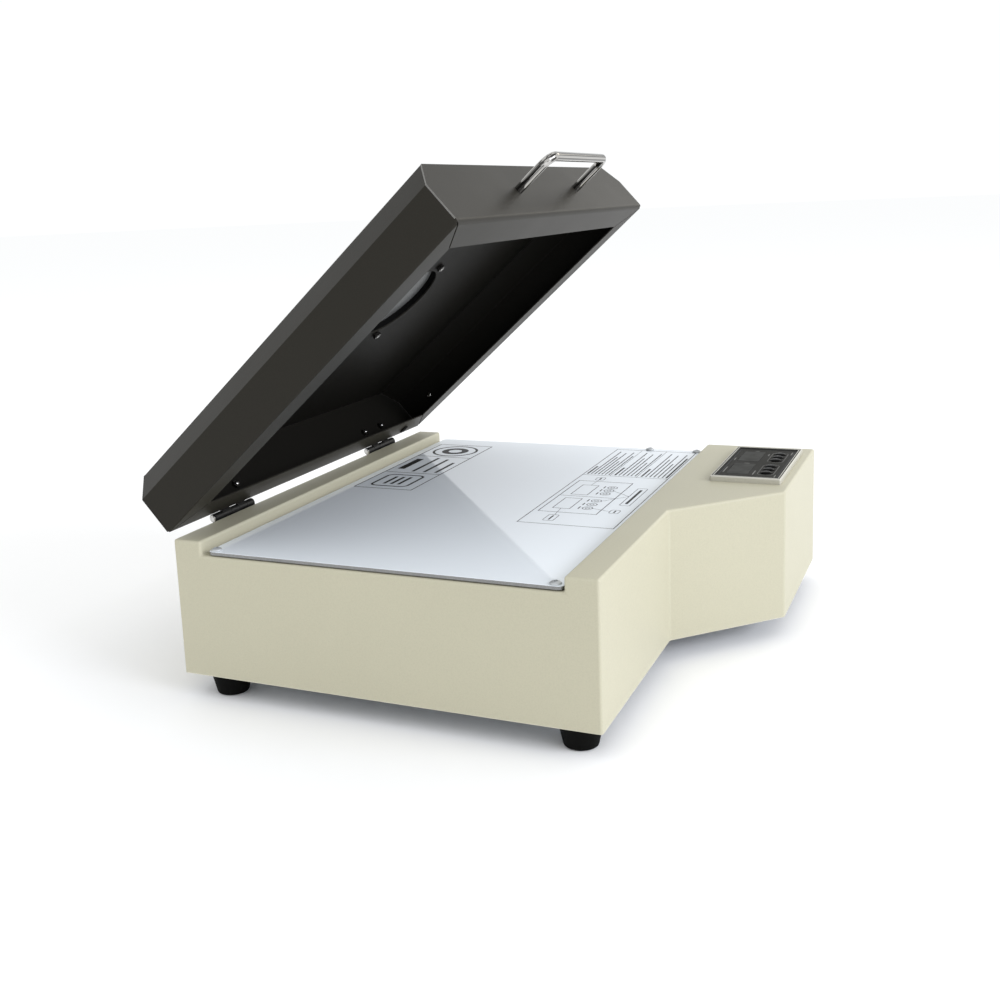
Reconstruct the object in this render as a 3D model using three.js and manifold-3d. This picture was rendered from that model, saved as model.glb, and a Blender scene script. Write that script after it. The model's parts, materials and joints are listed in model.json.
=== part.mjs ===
// A tabletop heat-drying press: a folded-steel base with a heated platen, and a hinged lid with a vent fan.
// Millimetres, +Z up, the user at -Y, the lid hinge along X at the rear. The lid is open at rest.

import * as THREE from "three";
import { mergeVertices } from "three/addons/utils/BufferGeometryUtils.js";
import Module from "manifold-3d";

const wasm = await Module();
wasm.setup();

const RAD = Math.PI / 180;

// Base. Heights here count from the housing's lower edge, and the feet reach below it.
const BODY_W = 468;
const BODY_D = 370;
const BODY_H = 117.6;
const RECESS = 11.9;
const RAIL = 26.8;
const SHEET = 1.5;
const LIP_SIDE = 14;
const LIP_RAIL = 9;
const LIP_Z = BODY_H - RECESS;
const RECESS_D = BODY_D - 2 * RAIL;

// Control box at the front right, seen in plan: a diagonal face runs from the body out to its front.
const BOX_DEPTH = 83.7;
const BOX_START = -38.7;
const BOX_FRONT = 49.6;

// Feet
const FOOT_H = 20;
const FOOT_TOP_R = 18;
const FOOT_LOW_R = 13.5;
const FOOT_X = 212;
const FOOT_REAR = 152.5;
const FOOT_FRONT = -161;
const FOOT_RECESS_R = 4.5;
const FOOT_RECESS = 6;
const COVER = 1.2;
const COVER_Z = 0.3;
const SLOT_L = 46;
const SLOT_W = 5;
const SLOT_PITCH = 16;
const SLOT_ROWS = 5;
const SLOT_COLUMNS = [-110, 0, 110];

// Platen and what lies under it
const PLATEN_T = 3;
const PLATEN_GAP = 0.9;
const PLATEN_Z = LIP_Z + PLATEN_GAP;
const PLATEN_W = 467;
const PLATEN_REAR = RECESS_D / 2 - 6.2;
const PLATEN_FRONT = 0.8 - RECESS_D / 2;
const PLATEN_CORNER = 5;
const PLATEN_TOP = PLATEN_Z + PLATEN_T;
const PLATEN_SCREWS = [[-228.2, 146], [-228.2, -150], [227, -148], [227, -97]];
const PLATEN_SCREW_LENGTH = 7;
const HEATER_W = 434;
const HEATER_D = 292;
const HEATER_T = 2;
const WOOL_T = 20;
const TRAY_T = 1;
const TRAY_RIM = 6;
const LAYER_GAP = 0.1;
const CUTOUT_X = 60;
const CUTOUT_R = 8;
const CUTOUT_H = 9;
const SENSOR_X = -60;
const SENSOR_R = 2.5;
const SENSOR_L = 36;

// Controller in the top of the control box
const PANEL_X = 140.5;
const PANEL_Y = -228;
const BEZEL_W = 136;
const BEZEL_D = 65;
const BEZEL_H = 4.9;
const FACE_W = 126;
const FACE_D = 58.6;
const FACE_TOP = BODY_H + 3.7;
const FACE_T = 2;
const CASE_W = 120;
const CASE_D = 52;
const CASE_H = 55;
const GROUP_X = 27;
const KEY_PITCH = 13.4;
const KEY_Y = -14.7;
const KEY_R = 5.6;
const KEY_HOLE_R = 5.95;
const DISPLAY_W = 44;
const DISPLAY_D = 21;
const DISPLAY_Y = 11;
const FACE_EDGE = 1.3;
const DISPLAY_GAP = 0.3;
const DISPLAY_T = 1.4;
const DISPLAY_PROUD = 0.2;
const KEY_TRAVEL_GAP = 0.9;
const KEY_SKIRT = 1.4;
const KEY_H = 3.1;

// Lid. Its own frame has the hinge axis along X at the origin and the lid closed, front towards -Y.
const LID_W = 472;
const LID_L = 371.2;
const LID_WALL = 36.1;
const LID_H = 56;
const LID_CHAMFER = 20.6;
const LID_SHEET = 1.2;
const LID_FLANGE = 28.8;
const LID_OPEN = 41.7;
const LID_REAR = -4.2;
const LID_UNDER = 2.4;
const LID_FRONT = LID_REAR - LID_L;
const LID_TOP = LID_UNDER + LID_H;
const SEAM = 0.3;
const GROMMET_X = 183;
const GROMMET_Y = LID_REAR - 11;
const GROMMET_R = 5.4;
const GROMMET_NECK_R = 3.9;
const GROMMET_HOLE_R = 2.4;
const GROMMET_LIP = 1.1;

// Butt hinges on the rear faces of the base and the lid
const HINGE_Y = BODY_D / 2 + 4.45;
const HINGE_Z = BODY_H + 0.9;
const HINGE_X = 142;
const HINGE_W = 60;
const KNUCKLES = 5;
const KNUCKLE_R = 3.8;
const PIN_R = 2;
const PIN_BORE_R = 2.25;
const LEAF_T = 2;
const LEAF_H = 26;
const LEAF_BACK = -4.1;
const LEAF_EDGE = KNUCKLE_R - 0.25;
const HINGE_SCREW_X = 19;
const HINGE_SCREW_Z = 19.4;
const PIN_HEAD_R = 3.1;
const PIN_HEAD_T = 1.2;
const PIN_HEAD_GAP = 0.2;
const KNUCKLE_GAP = 0.4;

// Handle on the lid's front
const HANDLE_PITCH = 146;
const HANDLE_REACH = 39;
const HANDLE_R = 4;
const HANDLE_BEND = 11;
const HANDLE_Z = LID_UNDER + LID_H / 2;

// Fan over the opening in the lid's top
const FAN_Y = LID_REAR - 193;
const FAN_HOLE_R = 43;
const FAN_BORE_R = 43.2;
const FAN_WALL = 2.2;
const FAN_FLANGE_R = 56;
const FAN_FLANGE_T = 2.5;
const FAN_H = 25;
const FAN_SCREW_X = 12;
const FAN_SCREW_Y = 48;
const FAN_SCREW_R = 49.5;
const BAFFLE_RISE = 6.5;
const BAFFLE_HOLES = 6;
const BAFFLE_RING_R = 12;
const BLADES = 7;
const BAFFLE_T = 0.8;
const BAFFLE_HOLE_R = 4;
const MOTOR_R = 19;
const MOTOR_T = 3.5;
const ARM_W = 6;
const ARMS = 3;
const HUB_R = 17;
const BLADE_T = 1.6;
const BLADE_W = 16;
const BLADE_PITCH = 52;
const GUARD_RINGS = [10, 21, 32, 43.4];
const GUARD_WIRE = 2;
const GUARD_T = 1.6;
const GUARD_REACH = 43.8;

// Screws: M4 shanks of 3.8 mm in 4.6 mm bores, with domed heads
const SHANK_R = 1.9;
const BORE_R = 2.3;
const HEAD_R = 3.8;
const HEAD_RIM_R = 3.4;
const HEAD_EDGE = 1.7;
const HEAD_DOME = 2.5;
const PLATEN_HEAD_R = 4.7;
const NUT_R = 4;
const NUT_T = 2.8;

// Rear power fittings
const POWER_Z = 46;
const INLET_X = 165;
const SWITCH_X = 118;
const ROCKER_TILT = 9;
const INLET_FLANGE = [44, 28, 3];
const INLET_BODY = [27.2, 19.2];
const INLET_SOCKET = [24, 16];
const INLET_REACH = 26;
const INLET_SOCKET_DEPTH = 14;
const INLET_PINS = [[-7, -1.5], [0, 2.5], [7, -1.5]];
const PIN_W = 2;
const PIN_H = 5;
const SWITCH_FLANGE = [23, 32, 2.2];
const SWITCH_BODY = [19.2, 27.2];
const SWITCH_WELL = [15, 24.4];
const SWITCH_REACH = 20;
const SWITCH_WELL_DEPTH = 12;
const ROCKER_W = 13.8;
const WALL_HOLE_GAP = 0.4;

// Relay on its heat sink and the terminal block, standing on the bottom cover
const RELAY_X = 175;
const RELAY_Y = -205;
const RELAY_W = 44;
const RELAY_D = 40;
const RELAY_H = 21.8;
const SINK_W = 60;
const SINK_D = 48;
const SINK_PLATE = 5;
const SINK_H = 20;
const FIN_T = 3;
const RIB_PITCH = 11;
const RIBS = [-2, -1, 0, 1, 2];
const STRIP_X = 90;
const STRIP_W = 60;
const STRIP_D = 22;
const STRIP_H = 16;
const STRIP_SLOT_W = 8;
const STRIP_SLOT_LOW = 8;

const COLOURS = {
  beige: [0xd2cdb6, 0.55, 0.0],
  charcoal: [0x47464a, 0.55, 0.2],
  white: [0xe9eef2, 0.25, 0.1],
  steel: [0xb9b9b6, 0.25, 1.0],
  zinc: [0xa3a7a8, 0.45, 0.9],
  black: [0x141414, 0.6, 0.0],
  rubber: [0x1b1b1b, 0.85, 0.0],
  silver: [0xcfccc2, 0.4, 0.6],
  grey: [0x55564f, 0.5, 0.0],
  window: [0x34352f, 0.15, 0.0],
  orange: [0xb5552f, 0.7, 0.0],
  wool: [0xcfc8a8, 0.95, 0.0],
  red: [0xa8201c, 0.45, 0.0],
};

const root = new THREE.Group();
const base = new THREE.Group();
const lid = new THREE.Group();
base.add(lid);
root.add(base);

// A geometry as a solid that can be cut and joined, and back
function solid(geometry) {
  const bare = geometry.clone();
  bare.deleteAttribute("normal");
  bare.deleteAttribute("uv");
  const merged = mergeVertices(bare, 1e-4);
  return new wasm.Manifold(new wasm.Mesh({
    numProp: 3,
    vertProperties: merged.attributes.position.array,
    triVerts: new Uint32Array(merged.index.array),
  }));
}

function geometryOf(body) {
  const mesh = body.getMesh();
  const geometry = new THREE.BufferGeometry();
  geometry.setAttribute("position", new THREE.BufferAttribute(new Float32Array(mesh.vertProperties), 3));
  geometry.setIndex(new THREE.BufferAttribute(new Uint32Array(mesh.triVerts), 1));
  const faceted = geometry.toNonIndexed();
  faceted.computeVertexNormals();
  return faceted;
}

function join(...geometries) {
  return geometryOf(geometries.map(solid).reduce((all, one) => all.add(one)));
}

function cut(geometry, ...tools) {
  return geometryOf(tools.map(solid).reduce((left, tool) => left.subtract(tool), solid(geometry)));
}

// A box given by its lowest and highest corners
function block(low, high) {
  const size = high.map((value, axis) => value - low[axis]);
  const middle = high.map((value, axis) => (value + low[axis]) / 2);
  return new THREE.BoxGeometry(...size).translate(...middle);
}

// A flat plate: a plan outline in X and Y, raised from one height to another
function plate(shape, from, to) {
  const options = { depth: to - from, bevelEnabled: false };
  return new THREE.ExtrudeGeometry(shape, options).translate(0, 0, from);
}

// The same plate with holes of the given plan outlines right through it
function pierced(shape, holes, from, to) {
  return cut(plate(shape, from, to), ...holes.map((hole) => plate(hole, from - 1, to + 1)));
}

function outline(points) {
  return new THREE.Shape(points.map(([x, y]) => new THREE.Vector2(x, y)));
}

function roundedRect(width, depth, radius, x = 0, y = 0, steps = 3) {
  const points = [];
  for (let quarter = 0; quarter < 4; quarter++) {
    const cx = x + (quarter === 0 || quarter === 3 ? 1 : -1) * (width / 2 - radius);
    const cy = y + (quarter < 2 ? 1 : -1) * (depth / 2 - radius);
    for (let n = 0; n <= steps; n++) {
      const angle = ((quarter + n / steps) * Math.PI) / 2;
      points.push([cx + radius * Math.cos(angle), cy + radius * Math.sin(angle)]);
    }
  }
  return outline(points);
}

function rectangle(width, depth, x = 0, y = 0) {
  const [w, d] = [width / 2, depth / 2];
  return outline([[x - w, y - d], [x + w, y - d], [x + w, y + d], [x - w, y + d]]);
}

// A many-sided ring of points whose flats clear a circle of the given radius
function circle(radius, x = 0, y = 0, sides = 14) {
  const reach = radius / Math.cos(Math.PI / sides);
  return outline(Array.from({ length: sides }, (_, n) => {
    const angle = (2 * Math.PI * n) / sides;
    return [x + reach * Math.cos(angle), y + reach * Math.sin(angle)];
  }));
}

// A turned piece about Z: [radius, height] points from the lower end of the axis to the upper end
function turned(points, sides = 14) {
  return new THREE.LatheGeometry(points.map(([r, z]) => new THREE.Vector2(r, z)), sides).rotateX(Math.PI / 2);
}

function rod(radius, from, to, sides = 14) {
  return turned([[0, from], [radius, from], [radius, to], [0, to]], sides);
}

function tube(inner, outer, from, to, sides = 32) {
  return turned([[inner, from], [outer, from], [outer, to], [inner, to], [inner, from]], sides);
}

function alongX(geometry, x = 0, y = 0, z = 0) {
  return geometry.rotateY(Math.PI / 2).translate(x, y, z);
}

// A box on the rear wall, centred on x and z, between two places along Y
function wallBlock(x, z, width, height, from, to) {
  return block([x - width / 2, from, z - height / 2], [x + width / 2, to, z + height / 2]);
}

// A domed screw about Z, its head's underside at the given height and its end at the lower one
function domedScrew(end, seat, headR = HEAD_R, sides = 12) {
  const rim = headR - (HEAD_R - HEAD_RIM_R);
  return turned([
    [0, end], [SHANK_R, end], [SHANK_R, seat], [headR, seat], [rim, seat + HEAD_EDGE], [0, seat + HEAD_DOME],
  ], sides);
}

// A bore for a screw that runs along Y
function boreAlongY(x, y, z) {
  return rod(BORE_R, -8, 8, 10).rotateX(Math.PI / 2).translate(x, y, z);
}

function place(name, geometry, look, parent = base, x = 0, y = 0, z = 0) {
  const [color, roughness, metalness] = COLOURS[look];
  const mesh = new THREE.Mesh(geometry, new THREE.MeshStandardMaterial({ color, roughness, metalness }));
  mesh.name = name;
  mesh.position.set(x, y, z);
  parent.add(mesh);
  return mesh;
}

// The base's outline in plan, moved inwards by an inset
function basePlan(inset) {
  const slope = Math.atan2(BOX_DEPTH, BOX_FRONT - BOX_START);
  const along = inset * Math.tan(slope / 2);
  return outline([
    [-BODY_W / 2 + inset, -BODY_D / 2 + inset],
    [BOX_START + along, -BODY_D / 2 + inset],
    [BOX_FRONT + along, -BODY_D / 2 - BOX_DEPTH + inset],
    [BODY_W / 2 - inset, -BODY_D / 2 - BOX_DEPTH + inset],
    [BODY_W / 2 - inset, BODY_D / 2 - inset],
    [-BODY_W / 2 + inset, BODY_D / 2 - inset],
  ]);
}

// The folded base: raised rails at the front and rear, a recess for the platen between them, open below
function buildHousing() {
  const half = RECESS_D / 2;
  const past = 2;
  const recess = block([-BODY_W, -half, LIP_Z], [BODY_W, half, BODY_H + past]);
  const underLip = block([-BODY_W, -half - SHEET, LIP_Z - SHEET], [BODY_W, half + SHEET, BODY_H + past]);
  const hollow = cut(plate(basePlan(SHEET), -past, BODY_H - SHEET), underLip);
  const window = block(
    [-BODY_W / 2 + LIP_SIDE, -half + LIP_RAIL, LIP_Z - 2 * SHEET],
    [BODY_W / 2 - LIP_SIDE, half - LIP_RAIL, LIP_Z + past],
  );
  const panel = roundedRect(FACE_W, FACE_D, 1, PANEL_X, PANEL_Y);
  const panelHole = plate(panel, BODY_H - 2 * SHEET, BODY_H + past);
  const [inside, outside] = [BODY_D / 2 - 2 * SHEET, BODY_D / 2 + past];
  const wallHole = (x, [width, height]) => (
    wallBlock(x, POWER_Z, width + 2 * WALL_HOLE_GAP, height + 2 * WALL_HOLE_GAP, inside, outside)
  );
  const inletHole = wallHole(INLET_X, INLET_BODY);
  const switchHole = wallHole(SWITCH_X, SWITCH_BODY);
  const bores = PLATEN_SCREWS.map(([x, y]) => rod(BORE_R, LIP_Z - 4, LIP_Z + 1, 10).translate(x, y, 0));
  const cuts = [recess, hollow, window, panelHole, inletHole, switchHole, ...bores];
  const shell = cut(plate(basePlan(0), 0, BODY_H), ...cuts);
  place("base_housing", shell, "beige");
}

function buildCoverAndFeet() {
  const slots = [];
  for (const x of SLOT_COLUMNS) {
    for (let row = 0; row < SLOT_ROWS; row++) {
      slots.push(rectangle(SLOT_L, SLOT_W, x, SLOT_PITCH * (row - (SLOT_ROWS - 1) / 2)));
    }
  }
  place("bottom_cover", pierced(basePlan(SHEET + SEAM), slots, COVER_Z, COVER_Z + COVER), "zinc");
  const top = COVER_Z - LAYER_GAP;
  const foot = [
    [0, -FOOT_H + FOOT_RECESS], [FOOT_RECESS_R, -FOOT_H + FOOT_RECESS], [FOOT_RECESS_R, -FOOT_H],
    [FOOT_LOW_R, -FOOT_H], [FOOT_TOP_R, top], [0, top],
  ];
  for (const [side, sx] of [["left", -1], ["right", 1]]) {
    for (const [end, y] of [["rear", FOOT_REAR], ["front", FOOT_FRONT]]) {
      place(`foot_${end}_${side}`, turned(foot, 20), "rubber", base, sx * FOOT_X, y);
    }
  }
}

// The platen, the heater bonded under it, and the insulation in its tray
function buildPlaten() {
  const bores = PLATEN_SCREWS.map(([x, y]) => circle(BORE_R, x, y, 10));
  const depth = PLATEN_REAR - PLATEN_FRONT;
  const sheet = roundedRect(PLATEN_W, depth, PLATEN_CORNER, 0, (PLATEN_REAR + PLATEN_FRONT) / 2);
  place("platen", pierced(sheet, bores, PLATEN_Z, PLATEN_TOP), "white");
  PLATEN_SCREWS.forEach(([x, y], index) => {
    const screw = domedScrew(-PLATEN_SCREW_LENGTH, PLATEN_T + LAYER_GAP, PLATEN_HEAD_R, 14);
    place(`platen_screw_${index + 1}`, screw, "steel", base, x, y, PLATEN_Z);
  });

  const heaterTop = PLATEN_Z - LAYER_GAP;
  const woolTop = heaterTop - HEATER_T - LAYER_GAP;
  const pad = roundedRect(HEATER_W, HEATER_D, 4);
  place("heater_mat", plate(pad, heaterTop - HEATER_T, heaterTop), "orange");
  const pockets = [
    circle(CUTOUT_R + 2, CUTOUT_X, 0),
    rectangle(SENSOR_L + 10, 2 * SENSOR_R + 9, SENSOR_X, 0),
  ];
  place("insulation_pad", pierced(pad, pockets, woolTop - WOOL_T, woolTop), "wool");
  place("thermal_cutout", rod(CUTOUT_R, woolTop - CUTOUT_H, woolTop), "black", base, CUTOUT_X, 0);
  const sensor = rod(SENSOR_R, -SENSOR_L / 2, SENSOR_L / 2);
  place("temperature_sensor", alongX(sensor, SENSOR_X, 0, woolTop - SENSOR_R - LAYER_GAP), "steel");

  const inner = 0.5;
  const low = woolTop - WOOL_T - 2 * LAYER_GAP;
  const rimTop = LIP_Z - SHEET - SEAM;
  const w = HEATER_W / 2 + inner;
  const d = HEATER_D / 2 + inner;
  const tray = cut(
    join(
      block([-w - TRAY_T, -d - TRAY_T, low - TRAY_T], [w + TRAY_T, d + TRAY_T, rimTop]),
      block([-w - TRAY_RIM, -d - TRAY_RIM, rimTop - TRAY_T], [w + TRAY_RIM, d + TRAY_RIM, rimTop]),
    ),
    block([-w, -d, low], [w, d, rimTop + 1]),
  );
  place("heat_shield_tray", tray, "zinc");
}

function buildController() {
  const bezel = new THREE.Group();
  bezel.position.set(PANEL_X, PANEL_Y, 0);
  base.add(bezel);
  const ring = roundedRect(BEZEL_W, BEZEL_D, 1.5);
  const opening = rectangle(FACE_W - 2, FACE_D - 2);
  place("controller_bezel", pierced(ring, [opening], BODY_H + 0.05, BODY_H + BEZEL_H), "silver", bezel);

  const holes = [];
  const groups = [["time", -1], ["temperature", 1]];
  const keys = [["set", -1], ["down", 0], ["up", 1]];
  for (const [, side] of groups) {
    holes.push(rectangle(DISPLAY_W, DISPLAY_D, side * GROUP_X, DISPLAY_Y));
    for (const [, step] of keys) {
      holes.push(circle(KEY_HOLE_R, side * GROUP_X + step * KEY_PITCH, KEY_Y));
    }
  }
  const face = rectangle(FACE_W - 2 * FACE_EDGE, FACE_D - 2 * FACE_EDGE);
  place("controller_face", pierced(face, holes, FACE_TOP - FACE_T, FACE_TOP), "grey", bezel);
  const caseTop = FACE_TOP - FACE_T - LAYER_GAP;
  place("controller_case", plate(roundedRect(CASE_W, CASE_D, 2), caseTop - CASE_H, caseTop), "black", bezel);

  const low = KEY_TRAVEL_GAP;
  const key = [
    [0, low], [KEY_R, low], [KEY_R, low + KEY_SKIRT], [KEY_R - 1.6, low + KEY_H - 0.5], [0, low + KEY_H],
  ];
  for (const [group, side] of groups) {
    const x = side * GROUP_X;
    const glass = rectangle(DISPLAY_W - 2 * DISPLAY_GAP, DISPLAY_D - 2 * DISPLAY_GAP, x, DISPLAY_Y);
    const glassTop = FACE_TOP + DISPLAY_PROUD;
    place(`${group}_display`, plate(glass, glassTop - DISPLAY_T, glassTop), "window", bezel);
    for (const [action, step] of keys) {
      place(`${group}_${action}_key`, turned(key), "black", bezel, x + step * KEY_PITCH, KEY_Y, caseTop);
    }
  }
}

// Mains inlet and rocker switch, set in holes in the rear wall
function buildPower() {
  const wall = BODY_D / 2;
  const seat = wall + LAYER_GAP;
  const inlet = cut(
    join(
      wallBlock(INLET_X, POWER_Z, INLET_FLANGE[0], INLET_FLANGE[1], seat, seat + INLET_FLANGE[2]),
      wallBlock(INLET_X, POWER_Z, ...INLET_BODY, wall - INLET_REACH, wall + 1),
    ),
    wallBlock(INLET_X, POWER_Z, ...INLET_SOCKET, wall - INLET_SOCKET_DEPTH, wall + INLET_FLANGE[2] + 2),
  );
  const pins = INLET_PINS.map(([x, z]) => (
    wallBlock(INLET_X + x, POWER_Z + z, PIN_W, PIN_H, wall - INLET_SOCKET_DEPTH - 1, wall - 1)
  ));
  place("power_inlet", join(inlet, ...pins), "black");

  const frame = cut(
    join(
      wallBlock(SWITCH_X, POWER_Z, SWITCH_FLANGE[0], SWITCH_FLANGE[1], seat, seat + SWITCH_FLANGE[2]),
      wallBlock(SWITCH_X, POWER_Z, ...SWITCH_BODY, wall - SWITCH_REACH, wall + 1),
    ),
    wallBlock(SWITCH_X, POWER_Z, ...SWITCH_WELL, wall - SWITCH_WELL_DEPTH, wall + SWITCH_FLANGE[2] + 2),
  );
  place("switch_frame", frame, "black");
  const cap = outline([[-10.6, 0], [-10.2, 6.2], [0, 3.9], [10.2, 6.2], [10.6, 0], [4, -4.5], [-4, -4.5]]);
  const rocker = plate(cap, -ROCKER_W / 2, ROCKER_W / 2).rotateY(-Math.PI / 2);
  const mesh = place("switch_rocker", rocker, "red", base, SWITCH_X, wall - 2, POWER_Z);
  mesh.rotation.x = -ROCKER_TILT * RAD;
}

function buildRelayAndTerminals() {
  const floor = COVER_Z + COVER + 2 * LAYER_GAP;
  const across = (x, width, depth, low, high) => block(
    [x - width / 2, RELAY_Y - depth / 2, floor + low],
    [x + width / 2, RELAY_Y + depth / 2, floor + high],
  );
  const fins = RIBS.map((n) => across(RELAY_X + RIB_PITCH * n, FIN_T, SINK_D, SINK_PLATE - 1, SINK_H));
  const sink = join(across(RELAY_X, SINK_W, SINK_D, 0, SINK_PLATE), ...fins);
  place("relay_heatsink", sink, "silver");
  const low = floor + SINK_H + 2 * LAYER_GAP;
  const relay = plate(roundedRect(RELAY_W, RELAY_D, 2, RELAY_X, RELAY_Y), low, low + RELAY_H);
  place("solid_state_relay", relay, "black");

  const slots = RIBS.map((n) => (
    across(STRIP_X + RIB_PITCH * n, STRIP_SLOT_W, STRIP_D + 10, STRIP_SLOT_LOW, STRIP_H + 4)
  ));
  place("terminal_block", cut(across(STRIP_X, STRIP_W, STRIP_D, 0, STRIP_H), ...slots), "grey");
}

// Knuckles and leaf of one half of a hinge, about its own axis; the leaf lies towards +Z or -Z
function hingeLeaf(first, direction) {
  const pitch = HINGE_W / KNUCKLES;
  const clear = KNUCKLE_GAP / 2;
  const leafZ = [LEAF_EDGE * direction, LEAF_H * direction].sort((a, b) => a - b);
  let body = block([-HINGE_W / 2, LEAF_BACK, leafZ[0]], [HINGE_W / 2, LEAF_BACK + LEAF_T, leafZ[1]]);
  for (let n = first; n < KNUCKLES; n += 2) {
    const from = -HINGE_W / 2 + n * pitch + clear;
    const to = from + pitch - 2 * clear;
    const web = [0, (LEAF_EDGE + 1) * direction].sort((a, b) => a - b);
    body = join(
      body,
      alongX(rod(KNUCKLE_R, from, to)),
      block([from, -KNUCKLE_R + 0.05, web[0]], [to, LEAF_BACK + LEAF_T, web[1]]),
    );
  }
  const holes = [-1, 1].map((side) => boreAlongY(side * HINGE_SCREW_X, 0, HINGE_SCREW_Z * direction));
  return cut(body, alongX(rod(PIN_BORE_R, -HINGE_W, HINGE_W)), ...holes);
}

function buildHinges() {
  const [screwEnd, screwSeat] = [-3.8, 2.6];
  for (const [side, sx] of [["left", -1], ["right", 1]]) {
    const x = sx * HINGE_X;
    place(`${side}_hinge_base_leaf`, hingeLeaf(0, -1), "black", base, x, HINGE_Y, HINGE_Z);
    place(`${side}_hinge_lid_leaf`, hingeLeaf(1, 1), "black", lid, x);
    const inner = HINGE_W / 2 + PIN_HEAD_GAP;
    const outer = inner + PIN_HEAD_T;
    const pin = [
      [0, -outer], [PIN_HEAD_R, -outer], [PIN_HEAD_R, -inner], [PIN_R, -inner],
      [PIN_R, inner], [PIN_HEAD_R, inner], [PIN_HEAD_R, outer], [0, outer],
    ];
    place(`${side}_hinge_pin`, alongX(turned(pin)), "steel", base, x, HINGE_Y, HINGE_Z);
    for (const [end, ex] of [["outer", 1], ["inner", -1]]) {
      const screw = domedScrew(screwEnd, screwSeat).rotateX(Math.PI / 2);
      const screwX = x + sx * ex * HINGE_SCREW_X;
      const screwY = LID_REAR - LID_SHEET + 2.4;
      place(`${side}_hinge_screw_${end}`, screw, "steel", lid, screwX, screwY, HINGE_SCREW_Z);
    }
  }
}

// The lid's cross-section above its walls, moved inwards by an inset: X runs across and Y is the height
function lidSection(inset) {
  const slope = Math.atan2(LID_H - LID_WALL, LID_CHAMFER);
  const half = LID_W / 2 - inset;
  const knee = LID_UNDER + LID_WALL - inset * Math.tan((Math.PI / 2 - slope) / 2);
  const top = LID_TOP - inset;
  const shoulder = LID_W / 2 - LID_CHAMFER - inset * Math.tan(slope / 2);
  return [[half, knee], [shoulder, top], [-shoulder, top], [-half, knee]];
}

function lidExtrusion(points, from, to) {
  const solidShape = new THREE.ExtrudeGeometry(outline(points), { depth: to - from, bevelEnabled: false });
  return solidShape.rotateX(Math.PI / 2).translate(0, to, 0);
}

function buildLidShell() {
  const half = LID_W / 2;
  const front = LID_FRONT + LID_SHEET + SEAM;
  const rear = LID_REAR - LID_SHEET - SEAM;
  const outer = [...lidSection(0), [-half, LID_UNDER], [half, LID_UNDER]];
  const inside = half - LID_SHEET;
  const inner = [...lidSection(LID_SHEET), [-inside, LID_UNDER - 2], [inside, LID_UNDER - 2]];
  const past = 3;
  const skin = cut(lidExtrusion(outer, front, rear), lidExtrusion(inner, front - past, rear + past));
  const flanges = [-1, 1].map((side) => {
    const edge = half - 0.5;
    const corners = [
      [side * edge, front], [side * edge, rear],
      [side * (half - LID_FLANGE), rear - LID_FLANGE + LID_SHEET],
      [side * (half - LID_FLANGE), front + LID_FLANGE - LID_SHEET],
    ];
    return plate(outline(side > 0 ? corners : corners.reverse()), LID_UNDER, LID_UNDER + LID_SHEET);
  });
  const hole = rod(FAN_HOLE_R, LID_TOP - 4, LID_TOP + 4, 32).translate(0, FAN_Y, 0);
  const bore = rod(BORE_R, LID_TOP - 4, LID_TOP + 4, 10);
  const bores = fanScrewPlaces().map(([x, y]) => bore.clone().translate(x, y, 0));
  place("lid_shell", cut(join(skin, ...flanges), hole, ...bores), "charcoal", lid);
}

// A flat end of the lid with its own mitred flange, which starts inside the wall's thickness
function lidEnd(faceY, inward) {
  const half = LID_W / 2;
  const back = faceY + inward * LID_SHEET;
  const wall = [...lidSection(0), [-half, LID_UNDER], [half, LID_UNDER]];
  const root = faceY + (inward * LID_SHEET) / 2;
  const reach = faceY + inward * LID_FLANGE;
  const narrow = half - LID_FLANGE - SEAM;
  const wide = half - SEAM - 1;
  const corners = [
    [-wide + 3, root], [wide - 3, root], [wide - 3, back], [wide, back],
    [narrow, reach], [-narrow, reach], [-wide, back], [-wide + 3, back],
  ];
  const flange = outline(inward > 0 ? corners : corners.reverse());
  return join(
    lidExtrusion(wall, Math.min(faceY, back), Math.max(faceY, back)),
    plate(flange, LID_UNDER, LID_UNDER + LID_SHEET),
  );
}

function buildLidEnds() {
  place("lid_front_cap", lidEnd(LID_FRONT, 1), "charcoal", lid);
  const holes = [];
  for (const side of [-1, 1]) {
    for (const step of [-1, 1]) {
      holes.push(boreAlongY(side * HINGE_X + step * HINGE_SCREW_X, LID_REAR, HINGE_SCREW_Z));
    }
  }
  const cable = rod(GROMMET_NECK_R + SEAM, -4, 8).translate(GROMMET_X, GROMMET_Y, 0);
  place("lid_rear_panel", cut(lidEnd(LID_REAR, -1), cable, ...holes), "charcoal", lid);
  const [low, high] = [-LAYER_GAP, LID_SHEET + LAYER_GAP];
  const rings = [
    [GROMMET_HOLE_R, low - GROMMET_LIP], [GROMMET_R, low - GROMMET_LIP], [GROMMET_R, low],
    [GROMMET_NECK_R, low], [GROMMET_NECK_R, high], [GROMMET_R, high], [GROMMET_R, high + GROMMET_LIP],
    [GROMMET_HOLE_R, high + GROMMET_LIP], [GROMMET_HOLE_R, low - GROMMET_LIP],
  ];
  place("cable_grommet", turned(rings), "rubber", lid, GROMMET_X, GROMMET_Y, LID_UNDER);
}

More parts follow.
